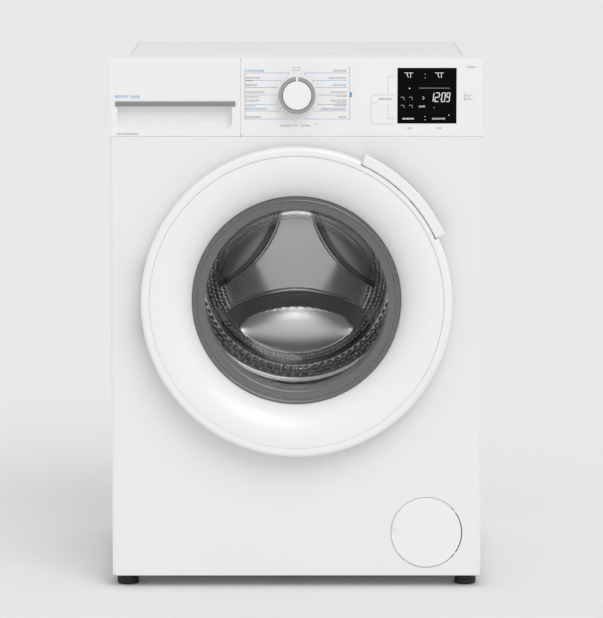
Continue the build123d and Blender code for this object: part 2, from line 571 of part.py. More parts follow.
def door_glass():
    # pressed glass bowl: flat flange, side wall and a domed bottom
    with BuildLine() as bl:
        Line((0, 84.0), (0, 90.0))
        Spline((0, 90.0), (60, 88.0), (100, 81.0), (118, 71.0), (128.0, 55.0), (139.0, 14.0), (141.5, 0.5), tangents=((1, 0), (0.12, -1)))
        Line((141.5, 0.5), (158, -0.6))
        Line((158, -0.6), (158, -6.6))
        Line((158, -6.6), (141.0, -6.6))
        Spline((141.0, -6.6), (134.0, 10.0), (122.5, 53.0), (113.5, 66.5), (97, 75.6), (58, 82.2), (0, 84.0), tangents=((-0.3, 1), (-1, 0)))
    return rev_wire(bl.line)


def door_back_frame():
    # white rear ring that clamps the glass, with screw bosses
    pts = [(151.6, -0.2), (158.3, -0.2), (158.3, -6.6), (165, -6.6), (166.0, -8.2), (229, -8.2), (229, -33.8), (231.6, -33.8), (231.6, -8.2), (245.4, -8.2), (245.4, -5.6), (172, -5.6), (168.5, 1.4), (151.6, 2.2)]
    pts = [(151.6, 0.0), (158.3, -0.5), (158.3, -6.7), (245.4, -6.7), (245.4, -4.2), (174.0, -4.2), (172.0, -5.4), (151.6, 3.0)]
    pts = [(151.8, -0.3), (158.3, -0.5), (158.3, -6.6), (245.2, -8.0), (245.2, -5.4), (176.0, -5.4), (174.0, -5.4), (162.5, -5.4), (151.8, 0.9)]
    pts = [(152.0, -0.1), (158.3, -0.5), (158.3, -6.6), (172.0, -6.6), (172.0, -8.0), (245.2, -8.0), (245.2, -5.6), (162.0, -5.6), (155.0, 0.6), (152.0, 0.6)]
    s = rev(pts)
    spots = [(196 * cos(radians(30 + 60 * k)), ZC + 196 * sin(radians(30 + 60 * k))) for k in range(6)]
    for x, z in spots:
        s = s - cyl_y(x, z, 4.4, -24, 2)
    for x, z in spots:
        s = s + (cyl_y(x, z, 5.0, -30.0, -5.6) - cyl_y(x, z, 2.05, -24, 2))
    # pocket over the hinge
    s = s - box(-250, HX + 52, -20, 0, ZC - 64, ZC + 64)
    # slot of the hook
    s = s - box(HOOK_X - 22, HOOK_X + 12, -20, 0, HOOK_Z - 11, HOOK_Z + 11)
    # finger room behind the handle
    s = s - arc_sector(232, 250, HANDLE_A[0] + 2, HANDLE_A[1] - 2, -20, 0)
    return s


def door_screws():
    out = []
    for k in range(6):
        a = 30 + 60 * k
        x, z = 196 * cos(radians(a)), ZC + 196 * sin(radians(a))
        head = cyl_y(x, z, 3.8, -5.55, -3.4)
        head = fillet(head.faces().sort_by(Axis.Y)[-1].edges(), 0.9)
        slot = box(x - 2.6, x + 2.6, -4.3, -3, z - 0.45, z + 0.45) + box(x - 0.45, x + 0.45, -4.3, -3, z - 2.6, z + 2.6)
        out.append(head - slot + cyl_y(x, z, 2.0, -22, -5.5))
    return Compound(children=out)


def hinge_leaf():
    s = cyl_z(HX, HY, 6.0, ZC - 34.6, ZC + 34.6)
    s = s + poly_z([(HX - 3, HY - 5.2), (HX - 3, HY + 5.5), (HX + 20, HY + 8), (HX + 44, HY + 8), (HX + 44, HY + 3.5), (HX + 22, HY + 3.5), (HX + 8, HY - 5.2)], ZC - 34.6, ZC + 34.6)
    s = s + box(HX + 40, HX + 44, HY - 8, HY + 8, ZC - 34.6, ZC + 34.6)
    s = s - cyl_z(HX, HY, 3.0, ZC - 60, ZC + 60)
    s = s + cyl_z(HX, HY, 4.0, ZC - 5, ZC + 5)
    return s


def door_pins():
    out = []
    for sgn in (-1, 1):
        z0, z1 = sorted((ZC + sgn * 5.2, ZC + sgn * 57.5))
        out.append(cyl_z(HX, HY, 3.0, z0, z1))
    # handle pin, along the tangent at the handle's middle
    out.append(handle_axis_cyl(1.5, -23, 23))
    # hook pin
    out.append(cyl_z(HOOK_X, HOOK_Y, 2.0, HOOK_Z - 16, HOOK_Z + 16))
    return Compound(children=out)


HAX_R, HAX_Y, HAX_A = 242.0, -38.0, 45.0


def handle_axis_cyl(r, s0, s1):
    """Cylinder on the handle's pivot axis, from s0 to s1 along it."""
    a = radians(HAX_A)
    t = Vector(sin(a), 0, -cos(a))
    c = Vector(HAX_R * cos(a), HAX_Y, ZC + HAX_R * sin(a))
    m = c + t * ((s0 + s1) / 2)
    return Plane(origin=(m.X, m.Y, m.Z), z_dir=t) * Cylinder(r, s1 - s0)


def along_handle(r0, r1, y0, y1, t0, t1):
    """Box by distance from the door's axis, depth, and place along the handle's pivot."""
    a = radians(HAX_A)
    u = Vector(cos(a), 0, sin(a))
    t = Vector(sin(a), 0, -cos(a))
    m = Vector(0, (y0 + y1) / 2, ZC) + u * ((r0 + r1) / 2) + t * ((t0 + t1) / 2)
    return Plane(origin=(m.X, m.Y, m.Z), x_dir=(u.X, u.Y, u.Z), z_dir=(t.X, t.Y, t.Z)) * Box(r1 - r0, y1 - y0, t1 - t0)


def door_handle():
    a0, a1 = HANDLE_A
    r0, y0 = DOOR_R - 4.4, DOOR_Y + 0.6
    s = arc_sector(r0, HANDLE_R, a0, a1, y0, -20)
    s = safe_fillet(s, [e for e in s.faces().sort_by(Axis.Y)[0].edges()], 2.0)
    # finger room behind the grip
    s = s - arc_sector(r0 - 5, HANDLE_R - 4.5, a0 + 1.2, a1 - 1.2, y0 + 5.0, 0)
    # arm and hub that turn on the pin
    s = s + along_handle(HAX_R, 250, y0 + 3.6, HAX_Y + 3.2, -12, 12) + handle_axis_cyl(3.4, -12, 12)
    return s - handle_axis_cyl(1.56, -40, 40)


def latch_hook():
    z0, z1 = HOOK_Z - 8, HOOK_Z + 8
    # shank through the slot, with the barb behind the striker bar
    pts = [(HOOK_X - 4, HOOK_Y - 4), (HOOK_X + 4, HOOK_Y - 4), (HOOK_X + 4.5, HOOK_Y + 10), (LOCK_X + 4.2, 0), (LOCK_X + 4.2, 13), (LOCK_X + 1.5, 16), (LOCK_X - 6.5, 10.5),
           (LOCK_X - 6.5, 7.2), (LOCK_X - 0.4, 7.2), (LOCK_X - 0.4, -2), (HOOK_X - 4, HOOK_Y + 8)]
    s = poly_z(pts, z0, z1) + cyl_z(HOOK_X, HOOK_Y, 5.0, z0, z1)
    s = s - cyl_z(HOOK_X, HOOK_Y, 2.06, z0 - 5, z1 + 5)
    return s


# ---- drawer, knob ---------------------------------------------------------------------------
def drawer_front():
    x0, x1, z0, z1 = -W / 2, DRW_X, ZF + 0.3, H
    s = box(x0, x1, 0, 18.0, z0, z1)
    s = fillet(s.edges().filter_by(Axis.Y), 3.0)
    s = fillet(s.faces().sort_by(Axis.Y)[0].edges(), 1.2)
    # finger scoop under the grip
    c = (Pos(-194.5, -16.0, 778.5) * Rot(0, 90, 0) * Cylinder(38.5, 182))
    cut = c & box(-286.5, -102.5, -8, 14.6, 730, 780.4)
    ends = [e for e in cut.edges() if abs(e.bounding_box().size.X) < 0.01 and e.center().Y > -7.5 and e.center().Z < 779.5]
    cut = safe_fillet(cut, ends, 9.0)
    s = s - cut
    lip = [e for e in s.edges() if abs(e.center().Y) < 0.05 and e.bounding_box().size.Y < 0.05 and 742 < e.bounding_box().min.Z < 779
           and -287 < e.center().X < -102]
    s = safe_fillet(s, lip, 1.4)
    # hollow back
    s = s - (box(x0 + 3, x1 - 3, 15.0, 19, z0 + 3, z1 - 3))
    # seat of the grip strip
    s = s - box(-289.2, -97.6, -1, 4.0, 780.4, 788.4)
    return s


def drawer_grip():
    s = box(-289.0, -97.8, -2.0, 3.9, 780.5, 788.3)
    s = fillet(s.faces().sort_by(Axis.Y)[0].edges(), 0.8)
    return s


def drawer_tray():
    x0, x1, y0, y1, z0, z1 = -281.5, -104.5, 15.1, 236.0, 750.0, 822.0
    s = box(x0, x1, y0, y1, z0, z1)
    s = fillet(s.edges().filter_by(Axis.Z), 6)
    t = 2.0
    xa, xb = -222.0, -160.0
    s = s - box(x0 + t, xa - t / 2, y0 + 6, y1 - t, z0 + t, z1 + 5)
    s = s - box(xa + t / 2, xb - t / 2, y0 + 6, y1 - 40, z0 + t, z1 + 5)
    s = s - box(xb + t / 2, x1 - t, y0 + 6, y1 - t, z0 + t, z1 + 5)
    return s


def dial_knob():
    s = cyl_y(DIAL_X, DIAL_Z, 30.6, -3.4, -0.4)
    s = fillet(s.faces().sort_by(Axis.Y)[0].edges(), 1.2)
    cap = cyl_y(DIAL_X, DIAL_Z, 22.8, -23.0, -3.0)
    cap = fillet(cap.faces().sort_by(Axis.Y)[0].edges(), 2.2)
    s = s + cap
    # pointer that fills the gap of the metal ring
    s = s + box(DIAL_X - 1.6, DIAL_X + 1.6, -19.6, -3, DIAL_Z + 15, DIAL_Z + 29.0)
    # spindle
    s = s + cyl_y(DIAL_X, DIAL_Z, 6.5, -1.0, 6.5) + cyl_y(DIAL_X, DIAL_Z, 3.0, 6, 22)
    return s


def dial_ring():
    pts = [(23.0, -18.4), (24.2, -19.8), (27.6, -19.6), (29.2, -17.6), (29.4, -3.5), (23.0, -3.5)]
    s = rev(pts, zc=DIAL_Z, xc=DIAL_X)
    return s - box(DIAL_X - 1.7, DIAL_X + 1.7, -30, 0, DIAL_Z + 10, DIAL_Z + 40)


# ---- tub and drum ---------------------------------------------------------------------------
def tub_front():
    y0 = TUB_Y0
    pts = [(168.4, 66.2), (171.4, 66.2), (171.4, 76.8), (172, y0 + 1), (TUB_RO, y0 + 1 + 3), (TUB_RO, TUB_YM - 4), (TUB_RO + 6, TUB_YM - 4), (TUB_RO + 6, TUB_YM - 0.05), (TUB_RI, TUB_YM - 0.05), (TUB_RI, y0 + 8),
           (172, y0 + 5), (168.4, y0 + 5)]
    pts = [(172.4, 60.0), (175.6, 60.0), (175.6, y0 + 1), (TUB_RO - 8, y0 + 1), (TUB_RO, y0 + 9), (TUB_RO, TUB_YM - 4), (TUB_RO + 6, TUB_YM - 4), (TUB_RO + 6, TUB_YM - 0.05),
           (TUB_RI, TUB_YM - 0.05), (TUB_RI, y0 + 10), (TUB_RO - 10, y0 + 5), (162.0, y0 + 5), (162.0, y0 + 1.6), (172.4, y0 + 1.6)]
    s = rev(pts)
    # stiffening ribs round the shell
    for k in range(24):
        a = 7.5 + 15 * k
        rib = Pos(0, 0, ZC) * Rot(0, -a, 0) * (Pos(TUB_RO + 2.2, 170, 0) * Box(6.4, 158, 3))
        s = s + rib
    # water inlet port at the top left, above the front rib
    s = s + (cyl_z(PORT_X, PORT_Y, 17, ZC + 215, 721) - cyl_y(0, ZC, TUB_RI + 1, 100, 250))
    s = s - cyl_z(PORT_X, PORT_Y, 14, ZC + 190, 725)
    # sump outlet at the bottom
    s = s + (cyl_z(110, 180, 16, ZC - 284, ZC - 228) - cyl_y(0, ZC, TUB_RI + 1, 100, 250))
    s = s - cyl_z(110, 180, 13, ZC - 290, ZC - 220)
    return s


def tub_rear():
    pts = [(TUB_RI, TUB_YM + 0.05), (TUB_RO + 6, TUB_YM + 0.05), (TUB_RO + 6, TUB_YM + 4), (TUB_RO, TUB_YM + 4), (TUB_RO, TUB_Y1 - 8), (TUB_RO - 8, TUB_Y1), (60, TUB_Y1), (44, TUB_Y1 + 6), (42, 476), (31, 476), (31, 429.5), (50, 429.5),
           (TUB_RI - 10, TUB_Y1 - 4.5), (TUB_RI, TUB_Y1 - 14)]
    s = rev(pts)
    for k in range(12):
        a = 15 + 30 * k
        rib = Pos(0, 0, ZC) * Rot(0, -a, 0) * (Pos(150, TUB_Y1 + 3.8, 0) * Box(212, 8.4, 4))
        s = s + rib
    # lugs for springs and dampers
    for sx in (-1, 1):
        s = s + box(sx * SPRING_X - 9, sx * SPRING_X + 9, SPRING_Y - 11, SPRING_Y + 11, ZC + 85, 597)
        s = s - box(sx * SPRING_X - 3.5, sx * SPRING_X + 3.5, SPRING_Y - 5, SPRING_Y + 5, 580, 620)
        s = s - cyl_y(sx * SPRING_X, 588, 2.1, SPRING_Y - 20, SPRING_Y + 20)
        for dx in (-16.5, 12.0):
            s = s + box(sx * DAMP_X + dx, sx * DAMP_X + dx + 4.5, DAMP_Y - 9, DAMP_Y + 9, 256, ZC - 140)
        s = s - cyl_x(DAMP_Y, 266, 4.1, sx * DAMP_X - 30, sx * DAMP_X + 30)
    # motor lugs
    for dx in (-48, 40):
        s = s + box(MOTOR_X + dx, MOTOR_X + dx + 8, 330, 420, MOTOR_Z + 51, ZC - 240)
    # heater opening
    s = s - box(-34, 34, TUB_Y1 - 20, TUB_Y1 + 2, ZC - 249, ZC - 233)
    inner = cyl_y(0, ZC, TUB_RI, 200, TUB_Y1 - 14)
    s = s - (inner & box(-300, 300, 259, TUB_Y1 - 14, 100, 700))
    return s


def heating_element():
    # tubular heater with its sealing plug and terminals
    z = ZC - 246.5
    out = box(-33.5, 33.5, TUB_Y1 - 8, TUB_Y1 + 4, ZC - 248.5, ZC - 233.5)
    a = cyl_y(-24, ZC - 244.5, 3.0, 240, TUB_Y1 - 6) + cyl_y(24, ZC - 244.5, 3.0, 240, TUB_Y1 - 6)
    bend = Pos(0, 240, ZC - 244.5) * (Torus(24, 3.0) & Box(80, 80, 20).moved(Location((0, -40, 0))))
    out = out + a + bend
    out = out + box(-28, -20, TUB_Y1 + 3.5, TUB_Y1 + 16, ZC - 243, ZC - 239) + box(20, 28, TUB_Y1 + 3.5, TUB_Y1 + 16, ZC - 243, ZC - 239)
    return out


def counterweight_front():
    # cast ring sector on the tub's front wall, above and beside the door neck
    s = rev([(182, 40), (248, 40), (250, 44), (250, 78), (246, TUB_Y0 + 0.9), (182, TUB_Y0 + 0.9)])
    s = s & box(-300, 300, 0, 100, ZC - 60, ZC + 300)
    s = s - box(-60, 60, 0, 60, ZC + 170, ZC + 300)
    # leave room for the lock
    s = s - box(165, 260, 0, 62, HOOK_Z - 45, HOOK_Z + 45)
    return s


def counterweight_top():
    s = box(-110, 150, 300, 420, ZC + 225, ZC + 318)
    s = fillet(s.edges().filter_by(Axis.Z), 12)
    s = s - cyl_y(0, ZC, TUB_RO + 6.6, 250, 460)
    return s


def motor():
    s = cyl_y(MOTOR_X, MOTOR_Z, MOTOR_R, 320, 445)
    s = fillet(s.edges().filter_by(GeomType.CIRCLE), 6)
    s = s + cyl_y(MOTOR_X, MOTOR_Z, 24, 444, 456) + cyl_y(MOTOR_X, MOTOR_Z, 28, 300, 321)
    for dx in (-38.5, 31.5):
        s = s + box(MOTOR_X + dx, MOTOR_X + dx + 7, 340, 410, MOTOR_Z + 30, MOTOR_Z + 76)
    s = s - cyl_y(MOTOR_X, MOTOR_Z, 8.06, 280, 470)
    for k in range(16):
        a = 22.5 * k
        s = s - (Pos(MOTOR_X, 0, MOTOR_Z) * Rot(0, -a, 0) * (Pos(MOTOR_R, 382, 0) * Box(5, 90, 3)))
    return s


def motor_pulley():
    s = cyl_y(MOTOR_X, MOTOR_Z, 8.0, 296, 500)
    s = s + cyl_y(MOTOR_X, MOTOR_Z, MPULLEY_R, PULLEY_Y[0], PULLEY_Y[1])
    s = s + cyl_y(MOTOR_X, MOTOR_Z, 13, PULLEY_Y[0] - 2, PULLEY_Y[0]) + cyl_y(MOTOR_X, MOTOR_Z, 13, PULLEY_Y[1], PULLEY_Y[1] + 2)
    return s


def drive_belt():
    # open belt round both pulleys: outer loop less inner loop
    y0, y1 = PULLEY_Y[0] + 1.5, PULLEY_Y[1] - 1.5

    def loop(ra, rb):
        dx, dz = MOTOR_X, MOTOR_Z - ZC
        d = sqrt(dx * dx + dz * dz)
        base = atan2(dz, dx)
        off = pi / 2 - (pi / 2 - atan2(sqrt(d * d - (ra - rb) ** 2), (ra - rb)))
        pts = []
        pa1 = (ra * cos(base + off), ZC + ra * sin(base + off))
        pa2 = (ra * cos(base - off), ZC + ra * sin(base - off))
        pb1 = (MOTOR_X + rb * cos(base + off), MOTOR_Z + rb * sin(base + off))
        pb2 = (MOTOR_X + rb * cos(base - off), MOTOR_Z + rb * sin(base - off))
        quad = poly_y([pa1, pb1, pb2, pa2], y0, y1)
        return quad + cyl_y(0, ZC, ra, y0, y1) + cyl_y(MOTOR_X, MOTOR_Z, rb, y0, y1)

    return loop(PULLEY_R + 2.6, MPULLEY_R + 2.6) - loop(PULLEY_R + 0.15, MPULLEY_R + 0.15)


def drum_pulley():
    s = rev([(PULLEY_R - 6, PULLEY_Y[0]), (PULLEY_R, PULLEY_Y[0]), (PULLEY_R, PULLEY_Y[1]), (PULLEY_R - 6, PULLEY_Y[1])])
    hub = cyl_y(0, ZC, 26, PULLEY_Y[0] - 2, PULLEY_Y[1] + 1)
    for k in range(8):
        arm = Pos(0, 0, ZC) * Rot(0, -45 * k, 0) * (Pos(80, 491, 0) * Box(116, 9, 18))
        hub = hub + arm
    s = s + hub
    return s - cyl_y(0, ZC, SHAFT_R - 2, 470, 510)


def drum_bearings():
    out = []
    for y0, y1 in ((436, 451), (460, 474)):
        b = cyl_y(0, ZC, 30.98, y0, y1) - cyl_y(0, ZC, SHAFT_R + 0.05, y0 - 1, y1 + 1)
        b = b - (cyl_y(0, ZC, 26, y1 - 1.2, y1 + 1) - cyl_y(0, ZC, 19.5, y1 - 2, y1 + 2))
        out.append(b)
    return Compound(children=out)


BACK = [(0.0, 397.5), (134.0, 397.5), (152.0, 396.0), (155.0, 392.5), (158.5, 391.0), (162.0, 392.5), (165.0, 392.0), (180.0, 382.0), (190.0, 374.0), (204.0, 365.0), (222.0, 352.0), (233.0, 341.0), (238.6, DRUM_Y1)]


def drum_back():
    pts = BACK[:1] + BACK[1:] + [(238.6, DRUM_Y1 - 6), (237.6, DRUM_Y1 - 6)][:0]
    outline = sheet_profile(BACK, 1.0)
    s = rev(outline)
    return s


def drum_shell():
    y0 = DRUM_Y0
    s = rev([(MOUTH_R + 2, y0 - 3.0), (MOUTH_R + 7, y0 - 3.0), (MOUTH_R + 12, y0), (DRUM_R - 9, y0), (DRUM_R, y0 + 9), (DRUM_R, DRUM_Y1 + 8), (DRUM_R - 1.0, DRUM_Y1 + 8), (DRUM_R - 1.0, y0 + 9.4), (DRUM_R - 9.4, y0 + 1.0),
             (MOUTH_R + 11.6, y0 + 1.0), (MOUTH_R + 6.6, y0 - 2.0), (MOUTH_R + 3.0, y0 - 2.0), (MOUTH_R + 1.0, y0 + 1.0), (MOUTH_R + 1.0, y0 + 5.0), (MOUTH_R, y0 + 5.0), (MOUTH_R, y0 - 0.5)])
    return s


LIFTER_A = (90.0, 210.0, 330.0)


def drum_lifters():
    out = []
    for a in LIFTER_A:
        # hollow paddle: triangular ridge with a rounded crest, drawn at angle zero
        ri = DRUM_R - 1.2
        pl = Plane(origin=(0, 128, 0), x_dir=(1, 0, 0), z_dir=(0, -1, 0))

        def outline(c, w, base):
            return [(base, -w), (base - 12, -w + 8), (c + 10, -13), (c + 2, -8), (c, 0), (c + 2, 8), (c + 10, 13), (base - 12, w - 8), (base, w)]
        body = extrude(pl * make_face(Polyline(*outline(172, 44, 236), close=True)), -(322 - 128))
        inner = extrude(Plane(origin=(0, 131, 0), x_dir=(1, 0, 0), z_dir=(0, -1, 0)) * make_face(Polyline(*outline(175.5, 40.5, 245), close=True)), -(319 - 131))
        body = body & cyl_y(0, 0, ri - 0.6, 100, 340)
        body = body - inner
        out.append(Pos(0, 0, ZC) * Rot(0, -a, 0) * body)
    return Compound(children=out)


# angle, base outline (crest, tip radius, tip angle, outer crest) and front outline of each pressed paddle
PADS = ((270.0, (28, 136, 59.2, 135.5), (55, 134, 50.6, 132.0)),
        (35.0, (67, 136, 46.0, 135.5), (80, 134, 40.0, 132.0)),
        (145.0, (67, 136, 46.0, 135.5), (80, 134, 40.0, 132.0)))
PAD_H = 52.0


def back_paddles():
    out = []
    for a, b0, f0 in PADS:
        def lens(c0, tip_r, tip_a, c1):
            # arch towards the axis and a round outer side
            tx, tz = tip_r * cos(radians(tip_a)), tip_r * sin(radians(tip_a))
            return make_face([ThreePointArc((tx, -tz), (c0, 0), (tx, tz)), ThreePointArc((tx, tz), (c1, 0), (tx, -tz))])
        y1 = 397.2
        base = Plane(origin=(0, y1, 0), x_dir=(1, 0, 0), z_dir=(0, -1, 0)) * lens(*b0)
        top = Plane(origin=(0, y1 - PAD_H, 0), x_dir=(1, 0, 0), z_dir=(0, -1, 0)) * lens(*f0)
        body = loft([base.faces()[0], top.faces()[0]])

        def small(c0, tip_r, tip_a, c1):
            return lens(c0 + 3.5, tip_r - 5.0, tip_a - 1.2, c1 - 3.0)
        ibase = Plane(origin=(0, y1 + 1, 0), x_dir=(1, 0, 0), z_dir=(0, -1, 0)) * small(*b0)
        itop = Plane(origin=(0, y1 - PAD_H + 3, 0), x_dir=(1, 0, 0), z_dir=(0, -1, 0)) * small(*f0)
        body = body - loft([ibase.faces()[0], itop.faces()[0]])
        out.append(Pos(0, 0, ZC) * Rot(0, -a, 0) * body)
    return Compound(children=out)


def drum_spider():
    # cast three-armed spider with the shaft
    back = [(r, y + 1.3) for r, y in BACK if r >= 134]
    arm_pts = [(0, 399.0)] + [(134, 399.0)] + back[1:-1] + [(232.0, 358.0), (205.0, 382.0), (170, 408), (120, 422), (0, 424)]
    pl = Plane(origin=(0, 0, 0), x_dir=(1, 0, 0), z_dir=(0, 0, 1))
    s = None
    for a in LIFTER_A:
        arm = Pos(0, 0, -13) * extrude(make_face(Polyline(*arm_pts, close=True)), 26)
        arm = Pos(0, 0, ZC) * Rot(0, -a, 0) * arm
        s = arm if s is None else s + arm
    s = s + cyl_y(0, ZC, 46, 399.0, 424) + cyl_y(0, ZC, 30, 423, 428.5)
    s = s + cyl_y(0, ZC, SHAFT_R, 424, 482) + cyl_y(0, ZC, SHAFT_R - 2.0, 481, 504)
    head = cyl_y(0, ZC, 20, 499.2, 504) + (Pos(0, 508, ZC) * Rot(90, 0, 0) * extrude(RegularPolygon(11, 6), 7, both=True).moved(Location((0, 0, 0))))
    return s + head


def feet(x, y):
    s = cyl_z(x, y, FOOT_R, 0, 8.0)
    s = fillet(s.faces().sort_by(Axis.Z)[0].edges(), 2.5)
    s = s + cyl_z(x, y, FOOT_R - 1.2, 7.5, 10.0) + cyl_z(x, y, FOOT_R, 9.5, 14.5)
    s = fillet(s.faces().sort_by(Axis.Z)[-1].edges(), 1.2)
    # hexagon for the spanner, stud
    s = s + Pos(x, y, 14) * extrude(RegularPolygon(9.5, 6), 6.0)
    s = s + cyl_z(x, y, 5.0, 19, 70)
    return s


def tub_hoses():
    """Rubber joints between cabinet and tub: sump to pump, and dispenser to tub."""
    sump = tube([(110, 180, 206), (110, 180, 150), (110, 75, 98), (172, 75, 98)], 19, 16.1, [26, 26])
    line = [(20.0, 713.8), (20.0, 721), (23.0, 723.2), (20.0, 725.4), (23.0, 727.6), (20.0, 729.8), (20.0, 740), (17.1, 740), (17.1, 730.4), (20.0, 727.6),
            (17.6, 725.4), (20.0, 723.2), (17.1, 720.4), (17.1, 713.8)]
    boot = Pos(PORT_X, PORT_Y, 0) * revolve(Plane.XZ * make_face(Polyline(*line, close=True)), Axis.Z, 360)
    return Compound(children=[sump, boot])


if __name__ == "__main__":
    import time
    jobs = dict(cabinet_shell=cabinet_shell, rear_cover=rear_cover, rear_screws=rear_screws, transit_caps=transit_caps, front_panel=front_panel,
                base_tray=base_tray, worktop_frame=worktop_frame, worktop_panel=worktop_panel, control_fascia=control_fascia, display_window=display_window,
                control_module=control_module, dispenser_housing=dispenser_housing, door_lock=door_lock, hinge_bracket=hinge_bracket,
                damper_cylinders=damper_cylinders, suspension_springs=suspension_springs, door_gasket=door_gasket, drain_pump=drain_pump,
                inlet_valve=inlet_valve, water_hoses=water_hoses, drain_outlet=drain_outlet, mains_inlet=mains_inlet,
                door_rim=door_rim, door_dish=door_dish, door_bezel=door_bezel, door_glass=door_glass, door_back_frame=door_back_frame,
                hinge_leaf=hinge_leaf, door_pins=door_pins, door_screws=door_screws, door_handle=door_handle, latch_hook=latch_hook,
                drawer_front=drawer_front, drawer_grip=drawer_grip, drawer_tray=drawer_tray, dial_ring=dial_ring, dial_knob=dial_knob,
                filter_flap=filter_flap, pump_filter=pump_filter,
                tub_front=tub_front, tub_rear=tub_rear, drum_bearings=drum_bearings, counterweight_front=counterweight_front,
                counterweight_top=counterweight_top, motor=motor, heating_element=heating_element, drive_belt=drive_belt, damper_rods=damper_rods,
                drum_shell=drum_shell, drum_back=drum_back, drum_lifters=drum_lifters, back_paddles=back_paddles, drum_spider=drum_spider,
                drum_pulley=drum_pulley, motor_pulley=motor_pulley,
                foot_front_left=lambda: feet(-FOOT_X, FOOT_YF), foot_front_right=lambda: feet(FOOT_X, FOOT_YF),
                foot_rear_left=lambda: feet(-FOOT_X, FOOT_YR), foot_rear_right=lambda: feet(FOOT_X, FOOT_YR), tub_hoses=tub_hoses)
    for name, make in jobs.items():
        t0 = time.time()
        shape = Pos(0, YO, 0) * make()
        export_step(shape, f"parts/{name}.step")
        dt = time.time() - t0
        n = len(shape.solids())
        print(f"{name:22s} solids {n} volume {shape.volume/1000:9.1f} cm3 valid {shape.is_valid} {dt:5.1f}s")
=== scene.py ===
import math
import random

import bpy
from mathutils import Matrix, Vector


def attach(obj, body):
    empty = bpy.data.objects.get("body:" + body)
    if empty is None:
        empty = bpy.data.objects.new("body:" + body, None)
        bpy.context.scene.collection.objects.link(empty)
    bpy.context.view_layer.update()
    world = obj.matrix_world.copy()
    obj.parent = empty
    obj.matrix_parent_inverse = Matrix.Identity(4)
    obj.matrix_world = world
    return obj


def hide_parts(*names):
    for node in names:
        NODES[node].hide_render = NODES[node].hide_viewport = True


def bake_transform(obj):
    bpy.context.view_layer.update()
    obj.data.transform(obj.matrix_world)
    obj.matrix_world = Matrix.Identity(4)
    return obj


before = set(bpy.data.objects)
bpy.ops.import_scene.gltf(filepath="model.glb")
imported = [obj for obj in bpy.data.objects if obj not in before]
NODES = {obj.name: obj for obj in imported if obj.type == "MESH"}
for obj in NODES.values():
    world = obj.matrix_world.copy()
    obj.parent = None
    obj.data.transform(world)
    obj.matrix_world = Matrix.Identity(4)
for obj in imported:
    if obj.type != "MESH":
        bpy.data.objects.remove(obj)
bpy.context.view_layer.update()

SC = bpy.context.scene
COL = SC.collection
MM = 0.001
YO = -257.5          # the front panel's plane, mm
ZC = 469.5           # drum axis, mm


# ------------------------------------------------------------------ materials
def lin(c):
    c = c / 255.0
    return c / 12.92 if c <= 0.04045 else ((c + 0.055) / 1.055) ** 2.4


def rgb(r, g=None, b=None):
    if g is None:
        g = b = r
    return (lin(r), lin(g), lin(b))


def ramp(nt, fac, c0, c1, p0=0.3, p1=0.7):
    r = nt.nodes.new("ShaderNodeValToRGB")
    r.color_ramp.elements[0].position = p0
    r.color_ramp.elements[1].position = p1
    r.color_ramp.elements[0].color = (*c0, 1)
    r.color_ramp.elements[1].color = (*c1, 1)
    nt.links.new(fac, r.inputs["Fac"])
    return r.outputs["Color"]


def noise(nt, scale, detail=2.0, rough=0.5, stretch=(1, 1, 1)):
    tc = nt.nodes.new("ShaderNodeTexCoord")
    mp = nt.nodes.new("ShaderNodeMapping")
    mp.inputs["Scale"].default_value = stretch
    nt.links.new(tc.outputs["Object"], mp.inputs["Vector"])
    n = nt.nodes.new("ShaderNodeTexNoise")
    n.inputs["Scale"].default_value = scale
    n.inputs["Detail"].default_value = detail
    n.inputs["Roughness"].default_value = rough
    nt.links.new(mp.outputs["Vector"], n.inputs["Vector"])
    return n.outputs["Fac"]


def surface(name, col, rough, metal=0.0, var=0.04, scale=9.0, bump=0.08, bump_scale=900.0,
            bump_mm=0.05, rvar=0.06, coat=0.0, coat_rough=0.08, spec=0.5, stretch=(1, 1, 1), sss=0.0,
            aniso=0.0, sheen=0.0):
    m = bpy.data.materials.new(name)
    m.use_nodes = True
    nt = m.node_tree
    b = nt.nodes["Principled BSDF"]
    b.inputs["Metallic"].default_value = metal
    b.inputs["Specular IOR Level"].default_value = spec
    if coat:
        b.inputs["Coat Weight"].default_value = coat
        b.inputs["Coat Roughness"].default_value = coat_rough
    if sheen:
        b.inputs["Sheen Weight"].default_value = sheen
    if aniso:
        b.inputs["Anisotropic"].default_value = aniso
    f = noise(nt, scale, 3.0, 0.55, stretch)
    lo = tuple(max(0.0, c * (1 - var)) for c in col)
    hi = tuple(min(1.0, c * (1 + var)) for c in col)
    nt.links.new(ramp(nt, f, lo, hi), b.inputs["Base Color"])
    f2 = noise(nt, scale * 2.7, 2.0, 0.5, stretch)
    mr = nt.nodes.new("ShaderNodeMapRange")
    mr.inputs["From Min"].default_value = 0.3
    mr.inputs["From Max"].default_value = 0.7
    mr.inputs["To Min"].default_value = max(0.02, rough - rvar)
    mr.inputs["To Max"].default_value = min(1.0, rough + rvar)
    nt.links.new(f2, mr.inputs["Value"])
    nt.links.new(mr.outputs["Result"], b.inputs["Roughness"])
    if bump:
        f3 = noise(nt, bump_scale, 2.0, 0.6, stretch)
        bp = nt.nodes.new("ShaderNodeBump")
        bp.inputs["Strength"].default_value = bump
        bp.inputs["Distance"].default_value = bump_mm * MM
        nt.links.new(f3, bp.inputs["Height"])
        nt.links.new(bp.outputs["Normal"], b.inputs["Normal"])
    return m


